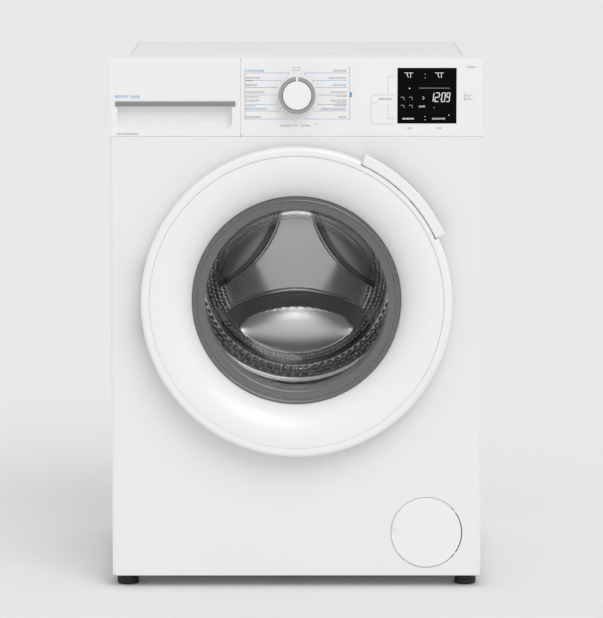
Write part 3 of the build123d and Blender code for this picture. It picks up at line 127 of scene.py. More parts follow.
def glass(name, tint, rough=0.02, ior=1.45):
    """Clear pane: what lies behind shows straight through, with the gloss that its angle gives."""
    m = bpy.data.materials.new(name)
    m.use_nodes = True
    nt = m.node_tree
    out = nt.nodes["Material Output"]
    nt.nodes.remove(nt.nodes["Principled BSDF"])
    tr = nt.nodes.new("ShaderNodeBsdfTransparent")
    f = noise(nt, 6.0, 2.0)
    nt.links.new(ramp(nt, f, tuple(c * 0.985 for c in tint), tint), tr.inputs["Color"])
    gl = nt.nodes.new("ShaderNodeBsdfGlossy")
    gl.inputs["Color"].default_value = (0.95, 0.95, 0.95, 1)
    gl.inputs["Roughness"].default_value = rough
    lw = nt.nodes.new("ShaderNodeLayerWeight")
    lw.inputs["Blend"].default_value = 0.5
    pw = nt.nodes.new("ShaderNodeMath")
    pw.operation = "POWER"
    pw.inputs[1].default_value = 4.5
    nt.links.new(lw.outputs["Facing"], pw.inputs[0])
    ma = nt.nodes.new("ShaderNodeMath")
    ma.operation = "MULTIPLY_ADD"
    ma.inputs[1].default_value = 0.75
    ma.inputs[2].default_value = 0.02
    nt.links.new(pw.outputs["Value"], ma.inputs[0])
    mx = nt.nodes.new("ShaderNodeMixShader")
    nt.links.new(ma.outputs["Value"], mx.inputs["Fac"])
    nt.links.new(tr.outputs["BSDF"], mx.inputs[1])
    nt.links.new(gl.outputs["BSDF"], mx.inputs[2])
    nt.links.new(mx.outputs["Shader"], out.inputs["Surface"])
    return m


M = {
    "white_steel": surface("paint_white_steel", rgb(233, 233, 234), 0.34, var=0.008, scale=3, bump=0.10, bump_scale=520, bump_mm=0.03, rvar=0.03),
    "zinc_steel": surface("zinc_sheet", rgb(168, 170, 172), 0.38, metal=0.9, var=0.10, scale=26, bump=0.05, bump_scale=300, rvar=0.10),
    "fastener_steel": surface("fastener_steel", rgb(176, 177, 178), 0.28, metal=1.0, var=0.06, scale=60, bump=0.08, bump_scale=700, rvar=0.06),
    "grey_plastic": surface("moulded_grey", rgb(126, 128, 130), 0.46, var=0.03, scale=12, bump=0.10, bump_scale=1500),
    "white_plastic": surface("moulded_white", rgb(232, 232, 233), 0.40, var=0.008, scale=5, bump=0.06, bump_scale=1200, bump_mm=0.03, rvar=0.04),
    "white_laminate": surface("worktop_laminate", rgb(224, 225, 226), 0.42, var=0.012, scale=5, bump=0.16, bump_scale=420, bump_mm=0.04, rvar=0.05),
    "white_gloss_plastic": surface("gloss_white", rgb(236, 236, 237), 0.24, var=0.006, scale=4, bump=0.04, bump_scale=350, bump_mm=0.02, rvar=0.03),
    "display_black": surface("display_black", rgb(10, 10, 11), 0.16, var=0.12, scale=10, bump=0.02, bump_scale=300, bump_mm=0.01, rvar=0.03, spec=0.03),
    "black_plastic": surface("moulded_black", rgb(26, 27, 28), 0.42, var=0.10, scale=14, bump=0.12, bump_scale=1400),
    "zinc_cast": surface("cast_zinc", rgb(150, 152, 154), 0.36, metal=0.95, var=0.07, scale=40, bump=0.10, bump_scale=700, rvar=0.08),
    "spring_steel": surface("spring_steel", rgb(92, 92, 94), 0.32, metal=0.95, var=0.08, scale=50, bump=0.06, bump_scale=700),
    "grey_rubber": surface("boot_rubber", rgb(132, 134, 136), 0.56, var=0.05, scale=20, bump=0.12, bump_scale=900, rvar=0.05),
    "black_rubber": surface("hose_rubber", rgb(26, 26, 27), 0.60, var=0.10, scale=30, bump=0.16, bump_scale=900),
    "bezel_grey": surface("bezel_grey", rgb(107, 107, 107), 0.30, metal=0.25, var=0.03, scale=9, bump=0.04, bump_scale=900, rvar=0.04),
    "grip_grey": surface("grip_satin_grey", rgb(150, 151, 152), 0.30, metal=0.75, var=0.05, scale=14, bump=0.05, bump_scale=700, stretch=(0.15, 1, 1), rvar=0.06),
    "dial_metal": surface("dial_satin_metal", rgb(172, 173, 174), 0.26, metal=0.8, var=0.04, scale=30, bump=0.04, bump_scale=900, rvar=0.05),
    "filter_plastic": surface("filter_plastic", rgb(84, 120, 150), 0.44, var=0.04, scale=14, bump=0.08, bump_scale=1200),
    "tub_plastic": surface("tub_filled_plastic", rgb(172, 172, 168), 0.52, var=0.05, scale=16, bump=0.14, bump_scale=800),
    "concrete": surface("cast_concrete", rgb(142, 140, 134), 0.86, var=0.16, scale=60, bump=0.55, bump_scale=260, bump_mm=0.5),
    "motor_alloy": surface("motor_alloy", rgb(138, 140, 142), 0.40, metal=0.85, var=0.08, scale=40, bump=0.10, bump_scale=500),
    "drum_steel": surface("drum_stainless", rgb(184, 184, 184), 0.24, metal=1.0, var=0.012, scale=14, bump=0.02, bump_scale=500, bump_mm=0.02, rvar=0.02),
    "paddle_plastic": surface("paddle_grey", rgb(150, 152, 155), 0.34, var=0.03, scale=14, bump=0.05, bump_scale=900, rvar=0.05),
    "spider_alloy": surface("spider_alloy", rgb(150, 151, 152), 0.42, metal=0.85, var=0.08, scale=34, bump=0.16, bump_scale=420),
    "foot_rubber": surface("foot_rubber", rgb(24, 24, 25), 0.55, var=0.10, scale=30, bump=0.12, bump_scale=900),
    "door_glass": glass("door_glass_clear", (0.985, 0.985, 0.983)),
}
for slot_name, obj_mat in list(M.items()):
    for o in NODES.values():
        for i, mt in enumerate(o.data.materials):
            if mt and mt.name.split(".")[0] == slot_name:
                o.data.materials[i] = obj_mat

PRINT_GREY = surface("print_grey", rgb(120, 124, 130), 0.5, var=0.05, scale=200, bump=0)
PRINT_BLUE = surface("print_blue", rgb(70, 160, 205), 0.5, var=0.05, scale=200, bump=0)
PRINT_CYAN = surface("print_cyan", rgb(30, 160, 215), 0.5, var=0.05, scale=200, bump=0)
SEAM_DARK = surface("seam_shadow", rgb(150, 150, 152), 0.6, var=0.05, scale=200, bump=0)


def glow(name, level):
    m = surface(name, rgb(200), 0.5, var=0.04, scale=300, bump=0)
    b = m.node_tree.nodes["Principled BSDF"]
    b.inputs["Emission Color"].default_value = (0.92, 0.97, 1.0, 1)
    b.inputs["Emission Strength"].default_value = level
    return m


LED = glow("display_lit", 0.55)
LED_DIM = glow("display_dim", 0.12)


# ------------------------------------------------------------------ mesh helpers
def obj_from(name, verts, faces, mats, body, smooth=False, mat_idx=None):
    me = bpy.data.meshes.new(name)
    me.from_pydata(verts, [], faces)
    me.validate()
    for m in mats:
        me.materials.append(m)
    if mat_idx:
        me.polygons.foreach_set("material_index", mat_idx)
    if smooth:
        me.polygons.foreach_set("use_smooth", [True] * len(me.polygons))
        me.set_sharp_from_angle(angle=math.radians(42))
    me.update()
    o = bpy.data.objects.new(name, me)
    COL.objects.link(o)
    if body:
        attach(o, body)
    return o


class Print:
    """Thin raised print on the fascia: boxes and ribbons in the X-Z plane, millimetres."""

    def __init__(self, y, t=0.12):
        self.y, self.t = y, t
        self.v, self.f, self.mi = [], [], []

    def poly(self, pts, mat=0):
        n = len(pts)
        k = len(self.v)
        for dy in (-self.t, 0.0):
            for x, z in pts:
                self.v.append((x * MM, (self.y + dy) * MM, z * MM))
        self.f.append(tuple(range(k, k + n)))
        self.f.append(tuple(reversed(range(k + n, k + 2 * n))))
        for i in range(n):
            j = (i + 1) % n
            self.f.append((k + j, k + i, k + n + i, k + n + j))
        self.mi += [mat] * (n + 2)

    def box(self, x0, x1, z0, z1, mat=0):
        self.poly([(x0, z0), (x1, z0), (x1, z1), (x0, z1)], mat)

    def line(self, pts, w, mat=0):
        for (xa, za), (xb, zb) in zip(pts, pts[1:]):
            dx, dz = xb - xa, zb - za
            d = math.hypot(dx, dz) or 1
            nx, nz = -dz / d * w / 2, dx / d * w / 2
            ex, ez = dx / d * w / 2, dz / d * w / 2
            self.poly([(xa - nx - ex, za - nz - ez), (xb - nx + ex, zb - nz + ez),
                       (xb + nx + ex, zb + nz + ez), (xa + nx - ex, za + nz - ez)], mat)

    def disc(self, x, z, r, mat=0, n=16):
        self.poly([(x + r * math.cos(2 * math.pi * i / n), z + r * math.sin(2 * math.pi * i / n)) for i in range(n)], mat)

    def greek(self, x0, x1, z, h, rng, mat=0, w=0.34):
        """A word's worth of small closed strokes that spell nothing."""
        x = x0
        while x < x1 - h * 0.4:
            cw = h * rng.uniform(0.5, 0.85)
            kind = rng.randrange(4)
            top = z + (h if kind else h * 1.35)
            if kind == 0:
                self.box(x, x + w, z, top, mat)
                cw = w
            elif kind == 1:
                self.line([(x, z), (x, top), (x + cw, top), (x + cw, z)], w, mat)
            elif kind == 2:
                self.line([(x, z), (x, top), (x + cw, top), (x + cw, z), (x, z)], w, mat)
            else:
                self.line([(x + cw, top), (x, top), (x, z), (x + cw, z)], w, mat)
            x += cw + h * 0.42

    def build(self, name, mats, body):
        return obj_from(name, self.v, self.f, mats, body, mat_idx=self.mi)


def lathe_pt(r, y, a):
    return (r * math.cos(a) * MM, (y + YO) * MM, (ZC + r * math.sin(a)) * MM)


def lathe(name, prof, seg, mats, body, slot, smooth=True):
    v, f = [], []
    n = len(prof)
    for i in range(seg):
        a = 2 * math.pi * i / seg
        v += [lathe_pt(r, y, a) for r, y in prof]
    for i in range(seg):
        j = (i + 1) % seg
        for k in range(n):
            m = (k + 1) % n
            f.append((i * n + k, i * n + m, j * n + m, j * n + k))
    return obj_from(name, v, f, mats, body, smooth)


def perforated(name, prof, strips, seg, thick, mats, body, dimple=0.7, pole=False):
    """A sheet of revolution with real pressed holes. prof: (r, y) inside face, thick towards its right-hand normal.
    strips: list of (s0, s1, holes per turn or 0, hole radius, stagger); s is the length along prof in mm."""
    ls = [0.0]
    for (r0, y0), (r1, y1) in zip(prof, prof[1:]):
        ls.append(ls[-1] + math.hypot(r1 - r0, y1 - y0))

    def at(s, d, a):
        s = min(max(s, 0.0), ls[-1])
        i = 0
        while i < len(ls) - 2 and s > ls[i + 1]:
            i += 1
        t = (s - ls[i]) / max(1e-9, ls[i + 1] - ls[i])
        (r0, y0), (r1, y1) = prof[i], prof[i + 1]
        L = ls[i + 1] - ls[i]
        nr, ny = (y1 - y0) / L, -(r1 - r0) / L
        return lathe_pt(r0 + (r1 - r0) * t + nr * d, y0 + (y1 - y0) * t + ny * d, a)

    v, f = [], []
    idx = {}

    def vid(s, k, layer):
        key = (round(s, 4), k % seg, layer)
        if key not in idx:
            idx[key] = len(v)
            v.append(at(s, thick * layer, 2 * math.pi * (k % seg) / seg))
        return idx[key]

    def rad(s):
        s = min(max(s, 0.0), ls[-1])
        i = 0
        while i < len(ls) - 2 and s > ls[i + 1]:
            i += 1
        t = (s - ls[i]) / max(1e-9, ls[i + 1] - ls[i])
        return prof[i][0] + (prof[i + 1][0] - prof[i][0]) * t

    for s0, s1, n, hr, off in strips:
        if not n:
            for k in range(seg):
                f.append((vid(s0, k, 0), vid(s0, k + 1, 0), vid(s1, k + 1, 0), vid(s1, k, 0)))
                f.append((vid(s0, k, 1), vid(s1, k, 1), vid(s1, k + 1, 1), vid(s0, k + 1, 1)))
            continue
        kk = seg // n
        sm = (s0 + s1) / 2
        rm = max(1e-6, rad(sm))
        for c in range(n):
            k0 = c * kk + off
            loop = [(s0, k0 + j) for j in range(kk + 1)] + [(s1, k0 + kk - j) for j in range(kk + 1)]
            ac = 2 * math.pi * (k0 + kk / 2) / seg
            ring = []
            for s, k in loop:
                da = (2 * math.pi * k / seg - ac) * rm
                ring.append(math.atan2(s - sm, da))
            m = len(loop)
            # even the ring's angles out so the hole is round
            a0 = ring[0]
            angs = [a0 + 2 * math.pi * i / m for i in range(m)]
            rings = []
            for rr, dd in ((hr * 1.75, 0.0), (hr, dimple), (hr, thick + dimple), (hr * 1.75, thick)):
                base = len(v)
                for a in angs:
                    v.append(at(sm + rr * math.sin(a), dd, ac + rr * math.cos(a) / rm))
                rings.append(base)
            front = [vid(s, k, 0) for s, k in loop]
            back = [vid(s, k, 1) for s, k in loop]
            for i in range(m):
                j = (i + 1) % m
                f.append((front[i], front[j], rings[0] + j, rings[0] + i))
                for q in range(3):
                    f.append((rings[q] + i, rings[q] + j, rings[q + 1] + j, rings[q + 1] + i))
                f.append((rings[3] + i, rings[3] + j, back[j], back[i]))
    # close the two rims
    for s in (strips[0][0], strips[-1][1]):
        if pole and s == strips[0][0]:
            continue
        for k in range(seg):
            f.append((vid(s, k, 0), vid(s, k, 1), vid(s, k + 1, 1), vid(s, k + 1, 0)))
    o = obj_from(name, v, f, mats, body, True)
    return o, v


# ------------------------------------------------------------------ drum: pressed and perforated sheet
def s_of(prof, r):
    s = 0.0
    for (r0, y0), (r1, y1) in zip(prof, prof[1:]):
        L = math.hypot(r1 - r0, y1 - y0)
        if r0 <= r <= r1:
            return s + L * (r - r0) / (r1 - r0)
        s += L
    return s


BACK = [(0.6, 397.5), (134, 397.6), (152, 398.2), (154.5, 394.6), (157.0, 393.2), (159.5, 392.6), (161.5, 391.4), (180, 391.4),
        (181.2, 390.0), (188.0, 388.1), (189.4, 390.2), (191.5, 388.0), (204, 371), (222, 353.5), (233, 341), (238.6, 332)]
cuts = [(0.6, 0, 0)] + [(r, 0, 0) for r in range(8, 121, 8)] + [(124, 0, 0), (131.5, 120, 0), (139, 120, 1), (146.5, 120, 0), (152, 120, 1),
        (154.5, 0, 0), (157, 0, 0), (159.5, 0, 0), (161.5, 0, 0), (167.6, 80, 0), (173.7, 80, 1), (179.8, 80, 0), (181.2, 0, 0), (184.6, 0, 0),
        (188.0, 0, 0), (189.4, 0, 0), (191.5, 0, 0), (198, 0, 0), (204, 0, 0), (213, 0, 0), (222, 0, 0), (228, 0, 0), (233, 0, 0), (236.5, 0, 0), (238.6, 0, 0)]
strips = []
for (ra, _, _), (rb, n, off) in zip(cuts, cuts[1:]):
    kk = 480 // n if n else 0
    strips.append((s_of(BACK, ra), s_of(BACK, rb), n, 1.55 if n == 120 else 1.7, (kk // 2) if off else 0))
back_skin, _ = perforated("drum_back_pressed", BACK, strips, 480, -0.8, [M["drum_steel"]], "drum", dimple=-0.42)


def smooth_step(t):
    t = min(1.0, max(0.0, t))
    return t * t * (3 - 2 * t)


# the middle of the back wall stands a little forward as a broad stem between the paddles
def stem(x, z):
    r = math.hypot(x, z)
    if r >= 123.9:
        return 0.0
    hw = min(74.0, max(38.0, 40 + 0.55 * (z + 28)))
    edge = max(hw + 8.0, math.sqrt(max(1.0, 124.0 ** 2 - z * z)))
    t = max(0.0, (abs(x) - hw) / (edge - hw))
    t = t * t / (0.30 + t) * 1.30 if t < 1 else 1.0
    return 9.0 * max(0.0, 1 - t) * (1 - smooth_step((r - 104) / 19.5))


for v in back_skin.data.vertices:
    v.co.y -= stem(v.co.x * 1000, v.co.z * 1000 - ZC) * MM
back_skin.data.update()
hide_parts("drum_back")


def arc_pt(crest, tip_r, tip_a, s):
    """Point of the arc from tip to tip through the crest, s from -1 to 1; first number along the paddle's axis."""
    tx, tz = tip_r * math.cos(math.radians(tip_a)), tip_r * math.sin(math.radians(tip_a))
    uc = (tx * tx + tz * tz - crest * crest) / (2 * (tx - crest))
    R = abs(crest - uc)
    if crest < uc:
        ph = math.atan2(tz, uc - tx) * s
        return uc - R * math.cos(ph), R * math.sin(ph)
    ph = math.atan2(tz, tx - uc) * s
    return uc + R * math.cos(ph), R * math.sin(ph)


def paddle(name, ang, base, front, crown, lean):
    """Pressed paddle: side wall from the back wall up, a crowned face, and a rolled bead round its foot."""
    n, m, k = 64, 16, 8
    ca, sa = math.cos(math.radians(ang)), math.sin(math.radians(ang))

    def place(u, t, y):
        return ((u * ca - t * sa) * MM, (y + YO) * MM, (ZC + u * sa + t * ca) * MM)

    v, f = [], []

    def grid(rows):
        o = len(v)
        w = len(rows[0])
        for row in rows:
            v.extend(place(*q) for q in row)
        for i in range(len(rows) - 1):
            for j in range(w - 1):
                a = o + i * w + j
                f.append((a, a + 1, a + w + 1, a + w))

    S = [math.sin(math.pi / 2 * (2 * i / n - 1)) for i in range(n + 1)]
    S = [2 * i / n - 1 for i in range(n + 1)]

    def face_y(s, q):
        return 345.2 + lean * q - crown * (1 - s * s) * 4 * q * (1 - q)

    rows = []
    for q in [j / m for j in range(m + 1)]:
        row = []
        for s in S:
            (u0, t0), (u1, t1) = arc_pt(*front[:3], s), arc_pt(front[3], front[1], front[2], s)
            row.append((u0 + (u1 - u0) * q, t0 + (t1 - t0) * q, face_y(s, q)))
        rows.append(row)
    grid(rows)
    for side in (0, 1):
        rows = []
        for w in [j / k for j in range(k + 1)]:
            row = []
            for s in S:
                cf = front[0] if side == 0 else front[3]
                cb = base[0] if side == 0 else base[3]
                u0, t0 = arc_pt(cb, base[1], base[2], s)
                u1, t1 = arc_pt(cf, front[1], front[2], s)
                yf = face_y(s, side)
                row.append((u0 + (u1 - u0) * w, t0 + (t1 - t0) * w, 397.4 + (yf - 397.4) * w))
            rows.append(row)
        if side == 0:
            rows.reverse()
        grid(rows)
    o = obj_from(name, v, f, [M["drum_steel"]], "drum", True)
    w = o.modifiers.new("weld", "WELD")
    w.merge_threshold = 0.00002
    bv = o.modifiers.new("soft_edge", "BEVEL")
    bv.width = 0.0016
    bv.segments = 3
    bv.limit_method = "ANGLE"
    bv.angle_limit = math.radians(38)
    bv.harden_normals = False
    # bead round the foot on the side of the axis
    v2, f2 = [], []
    nb = 14
    for i, s in enumerate(S):
        u, t = arc_pt(*base[:3], s)
        up = stem(u * ca - t * sa, u * sa + t * ca)
        w = up / 52.0

        def foot(q):
            (ua, ta), (ub, tb) = arc_pt(*base[:3], q), arc_pt(*front[:3], q)
            return ua + (ub - ua) * w, ta + (tb - ta) * w
        u, t = foot(s)
        u2, t2 = foot(s + 1e-3)
        du, dt = u2 - u, t2 - t
        d = math.hypot(du, dt)
        nu, nt_ = dt / d, -du / d
        rr = 3.6 * (1 - 0.55 * s * s)
        for j in range(nb):
            a = 2 * math.pi * j / nb
            v2.append(place(u - nu * (rr * 0.7 + rr * math.cos(a)), t - nt_ * (rr * 0.7 + rr * math.cos(a)), 395.4 - up - rr * 0.35 + rr * math.sin(a)))
    for i in range(len(S) - 1):
        for j in range(nb):
            j2 = (j + 1) % nb
            f2.append((i * nb + j, i * nb + j2, (i + 1) * nb + j2, (i + 1) * nb + j))
    f2.append(tuple(range(nb)))
    f2.append(tuple(reversed(range((len(S) - 1) * nb, len(S) * nb))))
    b = obj_from(name + "_bead", v2, f2, [M["drum_steel"]], "drum", True)
    return o, b


# Lit and shaded copies of the drum steel: the low paddle's face gets a lighter steel as a painted highlight, and the
# petals and every side wall get darker steel as painted shade.
PETAL_STEEL_PAINTED_SHADE = surface("petal_steel_painted_shade", rgb(172, 172, 172), 0.46, metal=1.0, var=0.012, scale=14, bump=0.02, bump_scale=500, bump_mm=0.02, rvar=0.02)
SIDE_STEEL_PAINTED_SHADE = surface("paddle_side_steel_painted_shade", rgb(140, 140, 140), 0.34, metal=1.0, var=0.012, scale=14, bump=0.02, bump_scale=500, bump_mm=0.02, rvar=0.02)
LENS_STEEL_PAINTED_HIGHLIGHT = surface("steel_painted_highlight", rgb(222, 222, 222), 0.36, metal=1.0, var=0.012, scale=14, bump=0.02, bump_scale=500, bump_mm=0.02, rvar=0.02)
for nm, ang, base, front, crown, lean in (
        ("paddle_low", 270, (28, 136, 59.2, 135.5), (55, 134, 50.6, 132.0), 8.0, -13.5),
        ("paddle_right", 35, (67, 136, 46.0, 135.5), (80, 134, 40.0, 132.0), 3.0, 15.0),
        ("paddle_left", 145, (67, 136, 46.0, 135.5), (80, 134, 40.0, 132.0), 3.0, 15.0)):
    o, b = paddle(nm, ang, base, front, crown, lean)
    o.data.materials[0] = LENS_STEEL_PAINTED_HIGHLIGHT if nm == "paddle_low" else PETAL_STEEL_PAINTED_SHADE
    o.data.materials.append(SIDE_STEEL_PAINTED_SHADE)
    # faces turned towards the door take the face steel; the side walls take the darker steel, which is painted shade
    for p in o.data.polygons:
        p.material_index = 0 if abs(p.normal.y) > 0.72 else 1
    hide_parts("back_paddles")
    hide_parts("back_paddles")

SHELL = [(159.4, 101.0), (159.4, 96.0), (161.0, 93.6), (164.5, 93.4), (169.0, 96.6), (231, 96.6), (235.5, 98.4), (238.2, 101.6),
         (239.2, 106.0), (239.2, 332.0), (239.2, 339.5)]
sl = [0.0]
for (r0, y0), (r1, y1) in zip(SHELL, SHELL[1:]):
    sl.append(sl[-1] + math.hypot(r1 - r0, y1 - y0))
strips = [(sl[i], sl[i + 1], 0, 0, 0) for i in range(8)]
s_wall = sl[8]
rows = 15
step = 224.0 / rows
for i in range(rows):
    strips.append((s_wall + 1.0 + step * i, s_wall + 1.0 + step * (i + 1), 80, 1.9, 2 if i % 2 else 0))
strips.insert(8, (s_wall, s_wall + 1.0, 0, 0, 0))
strips.append((s_wall + 225.0, sl[-1], 0, 0, 0))
shell_skin, _ = perforated("drum_wall_pressed", SHELL, strips, 320, 0.7, [M["drum_steel"]], "drum", dimple=0.8)
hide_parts("drum_shell")


# ------------------------------------------------------------------ soft pieces that cross the tub's suspension
def soft_copy(name, node, keep=None, mat=None):
    """The node's own shape as a piece of its own, attached to no body; keep picks its vertices."""
    src = NODES[node].data
    verts = [tuple(v.co) for v in src.vertices]
    faces = [tuple(p.vertices) for p in src.polygons]
    if keep:
        faces = [q for q in faces if all(keep(verts[i]) for i in q)]
        used = sorted({i for q in faces for i in q})
        new = {i: k for k, i in enumerate(used)}
        verts = [verts[i] for i in used]
        faces = [tuple(new[i] for i in q) for q in faces]
    o = obj_from(name, verts, faces, [mat or NODES[node].data.materials[0]], None, True)
    md = o.modifiers.new("weld", "WELD")
    md.merge_threshold = 0.00001
    dg = bpy.context.evaluated_depsgraph_get()
    me = bpy.data.meshes.new_from_object(o.evaluated_get(dg))
    o.modifiers.clear()
    o.data = me
    me.polygons.foreach_set("use_smooth", [True] * len(me.polygons))
    try:
        me.set_sharp_from_angle(angle=math.radians(40))
    except AttributeError:
        pass
    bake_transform(o)
    return o


boot = soft_copy("door_boot", "door_gasket")
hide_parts("door_gasket")
for sx, nm in ((-1, "left"), (1, "right")):
    sp = soft_copy("hanging_spring_" + nm, "suspension_springs",
                   keep=lambda p, s=sx: p[0] * s > 0)
    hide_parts("suspension_springs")
low = soft_copy("sump_hose", "tub_hoses", keep=lambda p: p[2] < 0.4)
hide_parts("tub_hoses")
top = soft_copy("fill_boot", "tub_hoses", keep=lambda p: p[2] > 0.4)
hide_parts("tub_hoses")


# ------------------------------------------------------------------ print on the fascia
rng = random.Random(7)
pr = Print(YO)
LW = 0.55


def X(cx):
    return (cx - 756) * 0.4376


def Z(cy):
    return 856 - (cy - 140) * 0.441


# dial legend: left column
rows_l = [(181, 568, 636, 2, 190, 727, 1), (207, 568, 622, 0, 217, 697, 1), (233, 568, 615, 0, 243, 686, 0), (259, 568, 640, 0, 270, 678, 1),
          (289, 568, 618, 0, 304, 680, 1), (319, 568, 648, 0, 328, 692, 1), (349, 568, 624, 0, 357, 724, 1)]
for cy, xa, xb, mt, ly, lx, lm in rows_l:
    pr.greek(X(xa), X(xb), Z(cy + 4), 2.3, rng, mt, 0.5 if mt == 2 else 0.4)
    pr.line([(X(568), Z(ly)), (X(lx), Z(ly))], LW, lm)
pr.greek(X(572), X(600), Z(220), 1.6, rng, 0, 0.3)
pr.greek(X(568), X(622), Z(279), 1.7, rng, 0, 0.3)
pr.greek(X(568), X(606), Z(312), 1.6, rng, 1, 0.3)
pr.line([(X(568), Z(190)), (X(568), Z(357))], LW, 0)
pr.line([(X(727), Z(190)), (X(727), Z(196))], LW, 1)
# right column
rows_r = [(181, 890, 940, 0, 190, 787, 950, 1), (207, 875, 937, 0, 217, 815, 940, 1), (233, 888, 940, 0, 243, 828, 940, 1),
          (259, 882, 940, 0, 270, 838, 940, 0), (289, 880, 940, 0, 304, 832, 940, 0), (320, 845, 940, 0, 328, 818, 940, 1),
          (349, 910, 940, 0, 357, 787, 950, 1)]
for cy, xa, xb, mt, ly, la, lb, lm in rows_r:
    pr.greek(X(xa), X(xb), Z(cy + 4), 2.3, rng, mt, 0.4)
    pr.line([(X(la), Z(ly)), (X(lb), Z(ly))], LW, lm)
pr.line([(X(787), Z(190)), (X(784), Z(197))], LW, 1)
pr.line([(X(787), Z(357)), (X(784), Z(350))], LW, 1)
pr.greek(X(905), X(940), Z(277), 1.7, rng, 0, 0.3)
pr.greek(X(900), X(940), Z(300), 1.7, rng, 0, 0.3)
pr.greek(X(896), X(940), Z(311), 1.7, rng, 0, 0.3)
pr.line([(X(944), Z(172)), (X(950), Z(172)), (X(950), Z(360))], LW, 0)
pr.box(X(950), X(958), Z(278), Z(260), 1)
# small basin sign and dots round the dial
pr.line([(X(744), Z(170)), (X(748), Z(181)), (X(764), Z(181)), (X(768), Z(170))], 0.5, 0)
pr.line([(X(742), Z(171)), (X(770), Z(171))], 0.45, 0)
for a in range(-150, 151, 20):
    if abs(a) < 8:
        continue
    r = 33.0
    pr.disc(1.0 + r * math.sin(math.radians(a)), 799 + r * math.cos(math.radians(a)), 0.55, 0, 10)
pr.greek(X(698), X(735), Z(384), 2.2, rng, 0, 0.4)
pr.greek(X(742), X(765), Z(384), 2.2, rng, 0, 0.4)
pr.greek(X(772), X(808), Z(384), 2.2, rng, 0, 0.4)
pr.greek(X(826), X(834), Z(378), 2.6, rng, 0, 0.4)
# brackets beside the display
pr.line([(X(1112), Z(270)), (X(1038), Z(270)), (X(1031), Z(273)), (X(1028), Z(280)), (X(1028), Z(366)), (X(1031), Z(372)), (X(1038), Z(375)), (X(1112), Z(375))], 0.42, 3)
pr.line([(X(1112), Z(203)), (X(1094), Z(203)), (X(1089), Z(208)), (X(1089), Z(266))], 0.42, 3)
pr.line([(X(1089), Z(305)), (X(1089), Z(350)), (X(1093), Z(355)), (X(1112), Z(355))], 0.42, 3)
pr.greek(X(1056), X(1106), Z(287), 1.9, rng, 0, 0.42)
pr.line([(X(1032), Z(302)), (X(1044), Z(302)), (X(1050), Z(296)), (X(1050), Z(290))], 0.42, 3)
for cx, cy in ((1352, 299), (1360, 259), (1400, 259), (1400, 295)):
    pr.line([(X(cx), Z(cy)), (X(cx + 9), Z(cy))], 0.42, 3)
pr.line([(X(1368), Z(270)), (X(1378), Z(270)), (X(1378), Z(287)), (X(1368), Z(287)), (X(1368), Z(270))], 0.7, 0)
pr.line([(X(1395), Z(270)), (X(1386), Z(270)), (X(1386), Z(287)), (X(1395), Z(287))], 0.7, 0)
pr.greek(X(1377), X(1409), Z(171), 1.7, rng, 0, 0.35)
pr.greek(X(1162), X(1178), Z(393), 2.0, rng, 0, 0.4)
pr.greek(X(1268), X(1288), Z(393), 2.0, rng, 0, 0.4)
legend = pr.build("fascia_print", [PRINT_GREY, PRINT_BLUE, PRINT_CYAN, SEAM_DARK], "cabinet")

pd = Print(YO)
pd.greek(X(95), X(146), Z(279), 3.0, rng, 0, 0.6)
pd.greek(X(150), X(187), Z(281), 3.4, rng, 0, 0.6)
pd.greek(-286.6, -252.0, 735.4, 1.9, rng, 1, 0.35)
drawer_print = pd.build("drawer_print", [PRINT_CYAN, PRINT_GREY], "drawer")

# ------------------------------------------------------------------ lit signs on the display
ps = Print(YO - 0.4, 0.06)


def seg7(p, x, z, w, h, which, t, mat=0, slant=0.12):
    def P(u, q):
        return (x + u * w + (q - 0.5) * h * slant, z + q * h)
    table = {"a": ((0, 1), (1, 1)), "b": ((1, 1), (1, .5)), "c": ((1, .5), (1, 0)), "d": ((0, 0), (1, 0)), "e": ((0, 0), (0, .5)),
             "f": ((0, .5), (0, 1)), "g": ((0, .5), (1, .5))}
    for k in which:
        (u0, q0), (u1, q1) = table[k]
        a, b = Vector(P(u0, q0)), Vector(P(u1, q1))
        d = (b - a).normalized() * (t * 0.75)
        p.line([tuple(a + d), tuple(b - d)], t, mat)


seg7(ps, X(1242), Z(294), 6.0, 14.0, "bc", 1.0)
seg7(ps, X(1262), Z(294), 6.0, 14.0, "abged", 1.0)
ps.disc(X(1283), Z(270), 0.6)
ps.disc(X(1281), Z(284), 0.6)
seg7(ps, X(1286), Z(294), 5.0, 14.0, "abcdef", 1.0)
seg7(ps, X(1303), Z(294), 5.0, 14.0, "abcdfg", 1.0)
for cx, cy in ((1150, 198), (1262, 198)):
    ps.line([(X(cx), Z(cy - 8)), (X(cx + 12), Z(cy - 8)), (X(cx + 9), Z(cy)), (X(cx + 14), Z(cy + 8))], 0.7)
    ps.line([(X(cx + 16), Z(cy - 8)), (X(cx + 30), Z(cy - 8))], 0.7)
    ps.line([(X(cx + 22), Z(cy - 6)), (X(cx + 22), Z(cy + 9))], 0.7)
ps.disc(X(1225), Z(195), 0.5)
ps.disc(X(1225), Z(208), 0.5)
ps.disc(X(1168), Z(246), 0.9)
ps.line([(X(1203), Z(245)), (X(1315), Z(245))], 0.35, 1)
for cx in (1142, 1172):
    for cy in (282, 311):
        ps.line([(X(cx - 5), Z(cy - 4)), (X(cx + 6), Z(cy - 4)), (X(cx + 6), Z(cy + 5))], 0.45, 1)
ps.line([(X(1216), Z(276)), (X(1222), Z(281)), (X(1216), Z(286))], 0.5)
ps.greek(X(1203), X(1226), Z(314), 2.0, rng, 0, 0.4)
ps.disc(X(1258), Z(316), 0.5)
ps.disc(X(1312), Z(343), 0.7)
ps.greek(X(1143), X(1188), Z(358), 1.8, rng, 0, 0.4)
ps.greek(X(1252), X(1300), Z(358), 1.8, rng, 0, 0.4)
ps.disc(X(1225), Z(348), 0.6)
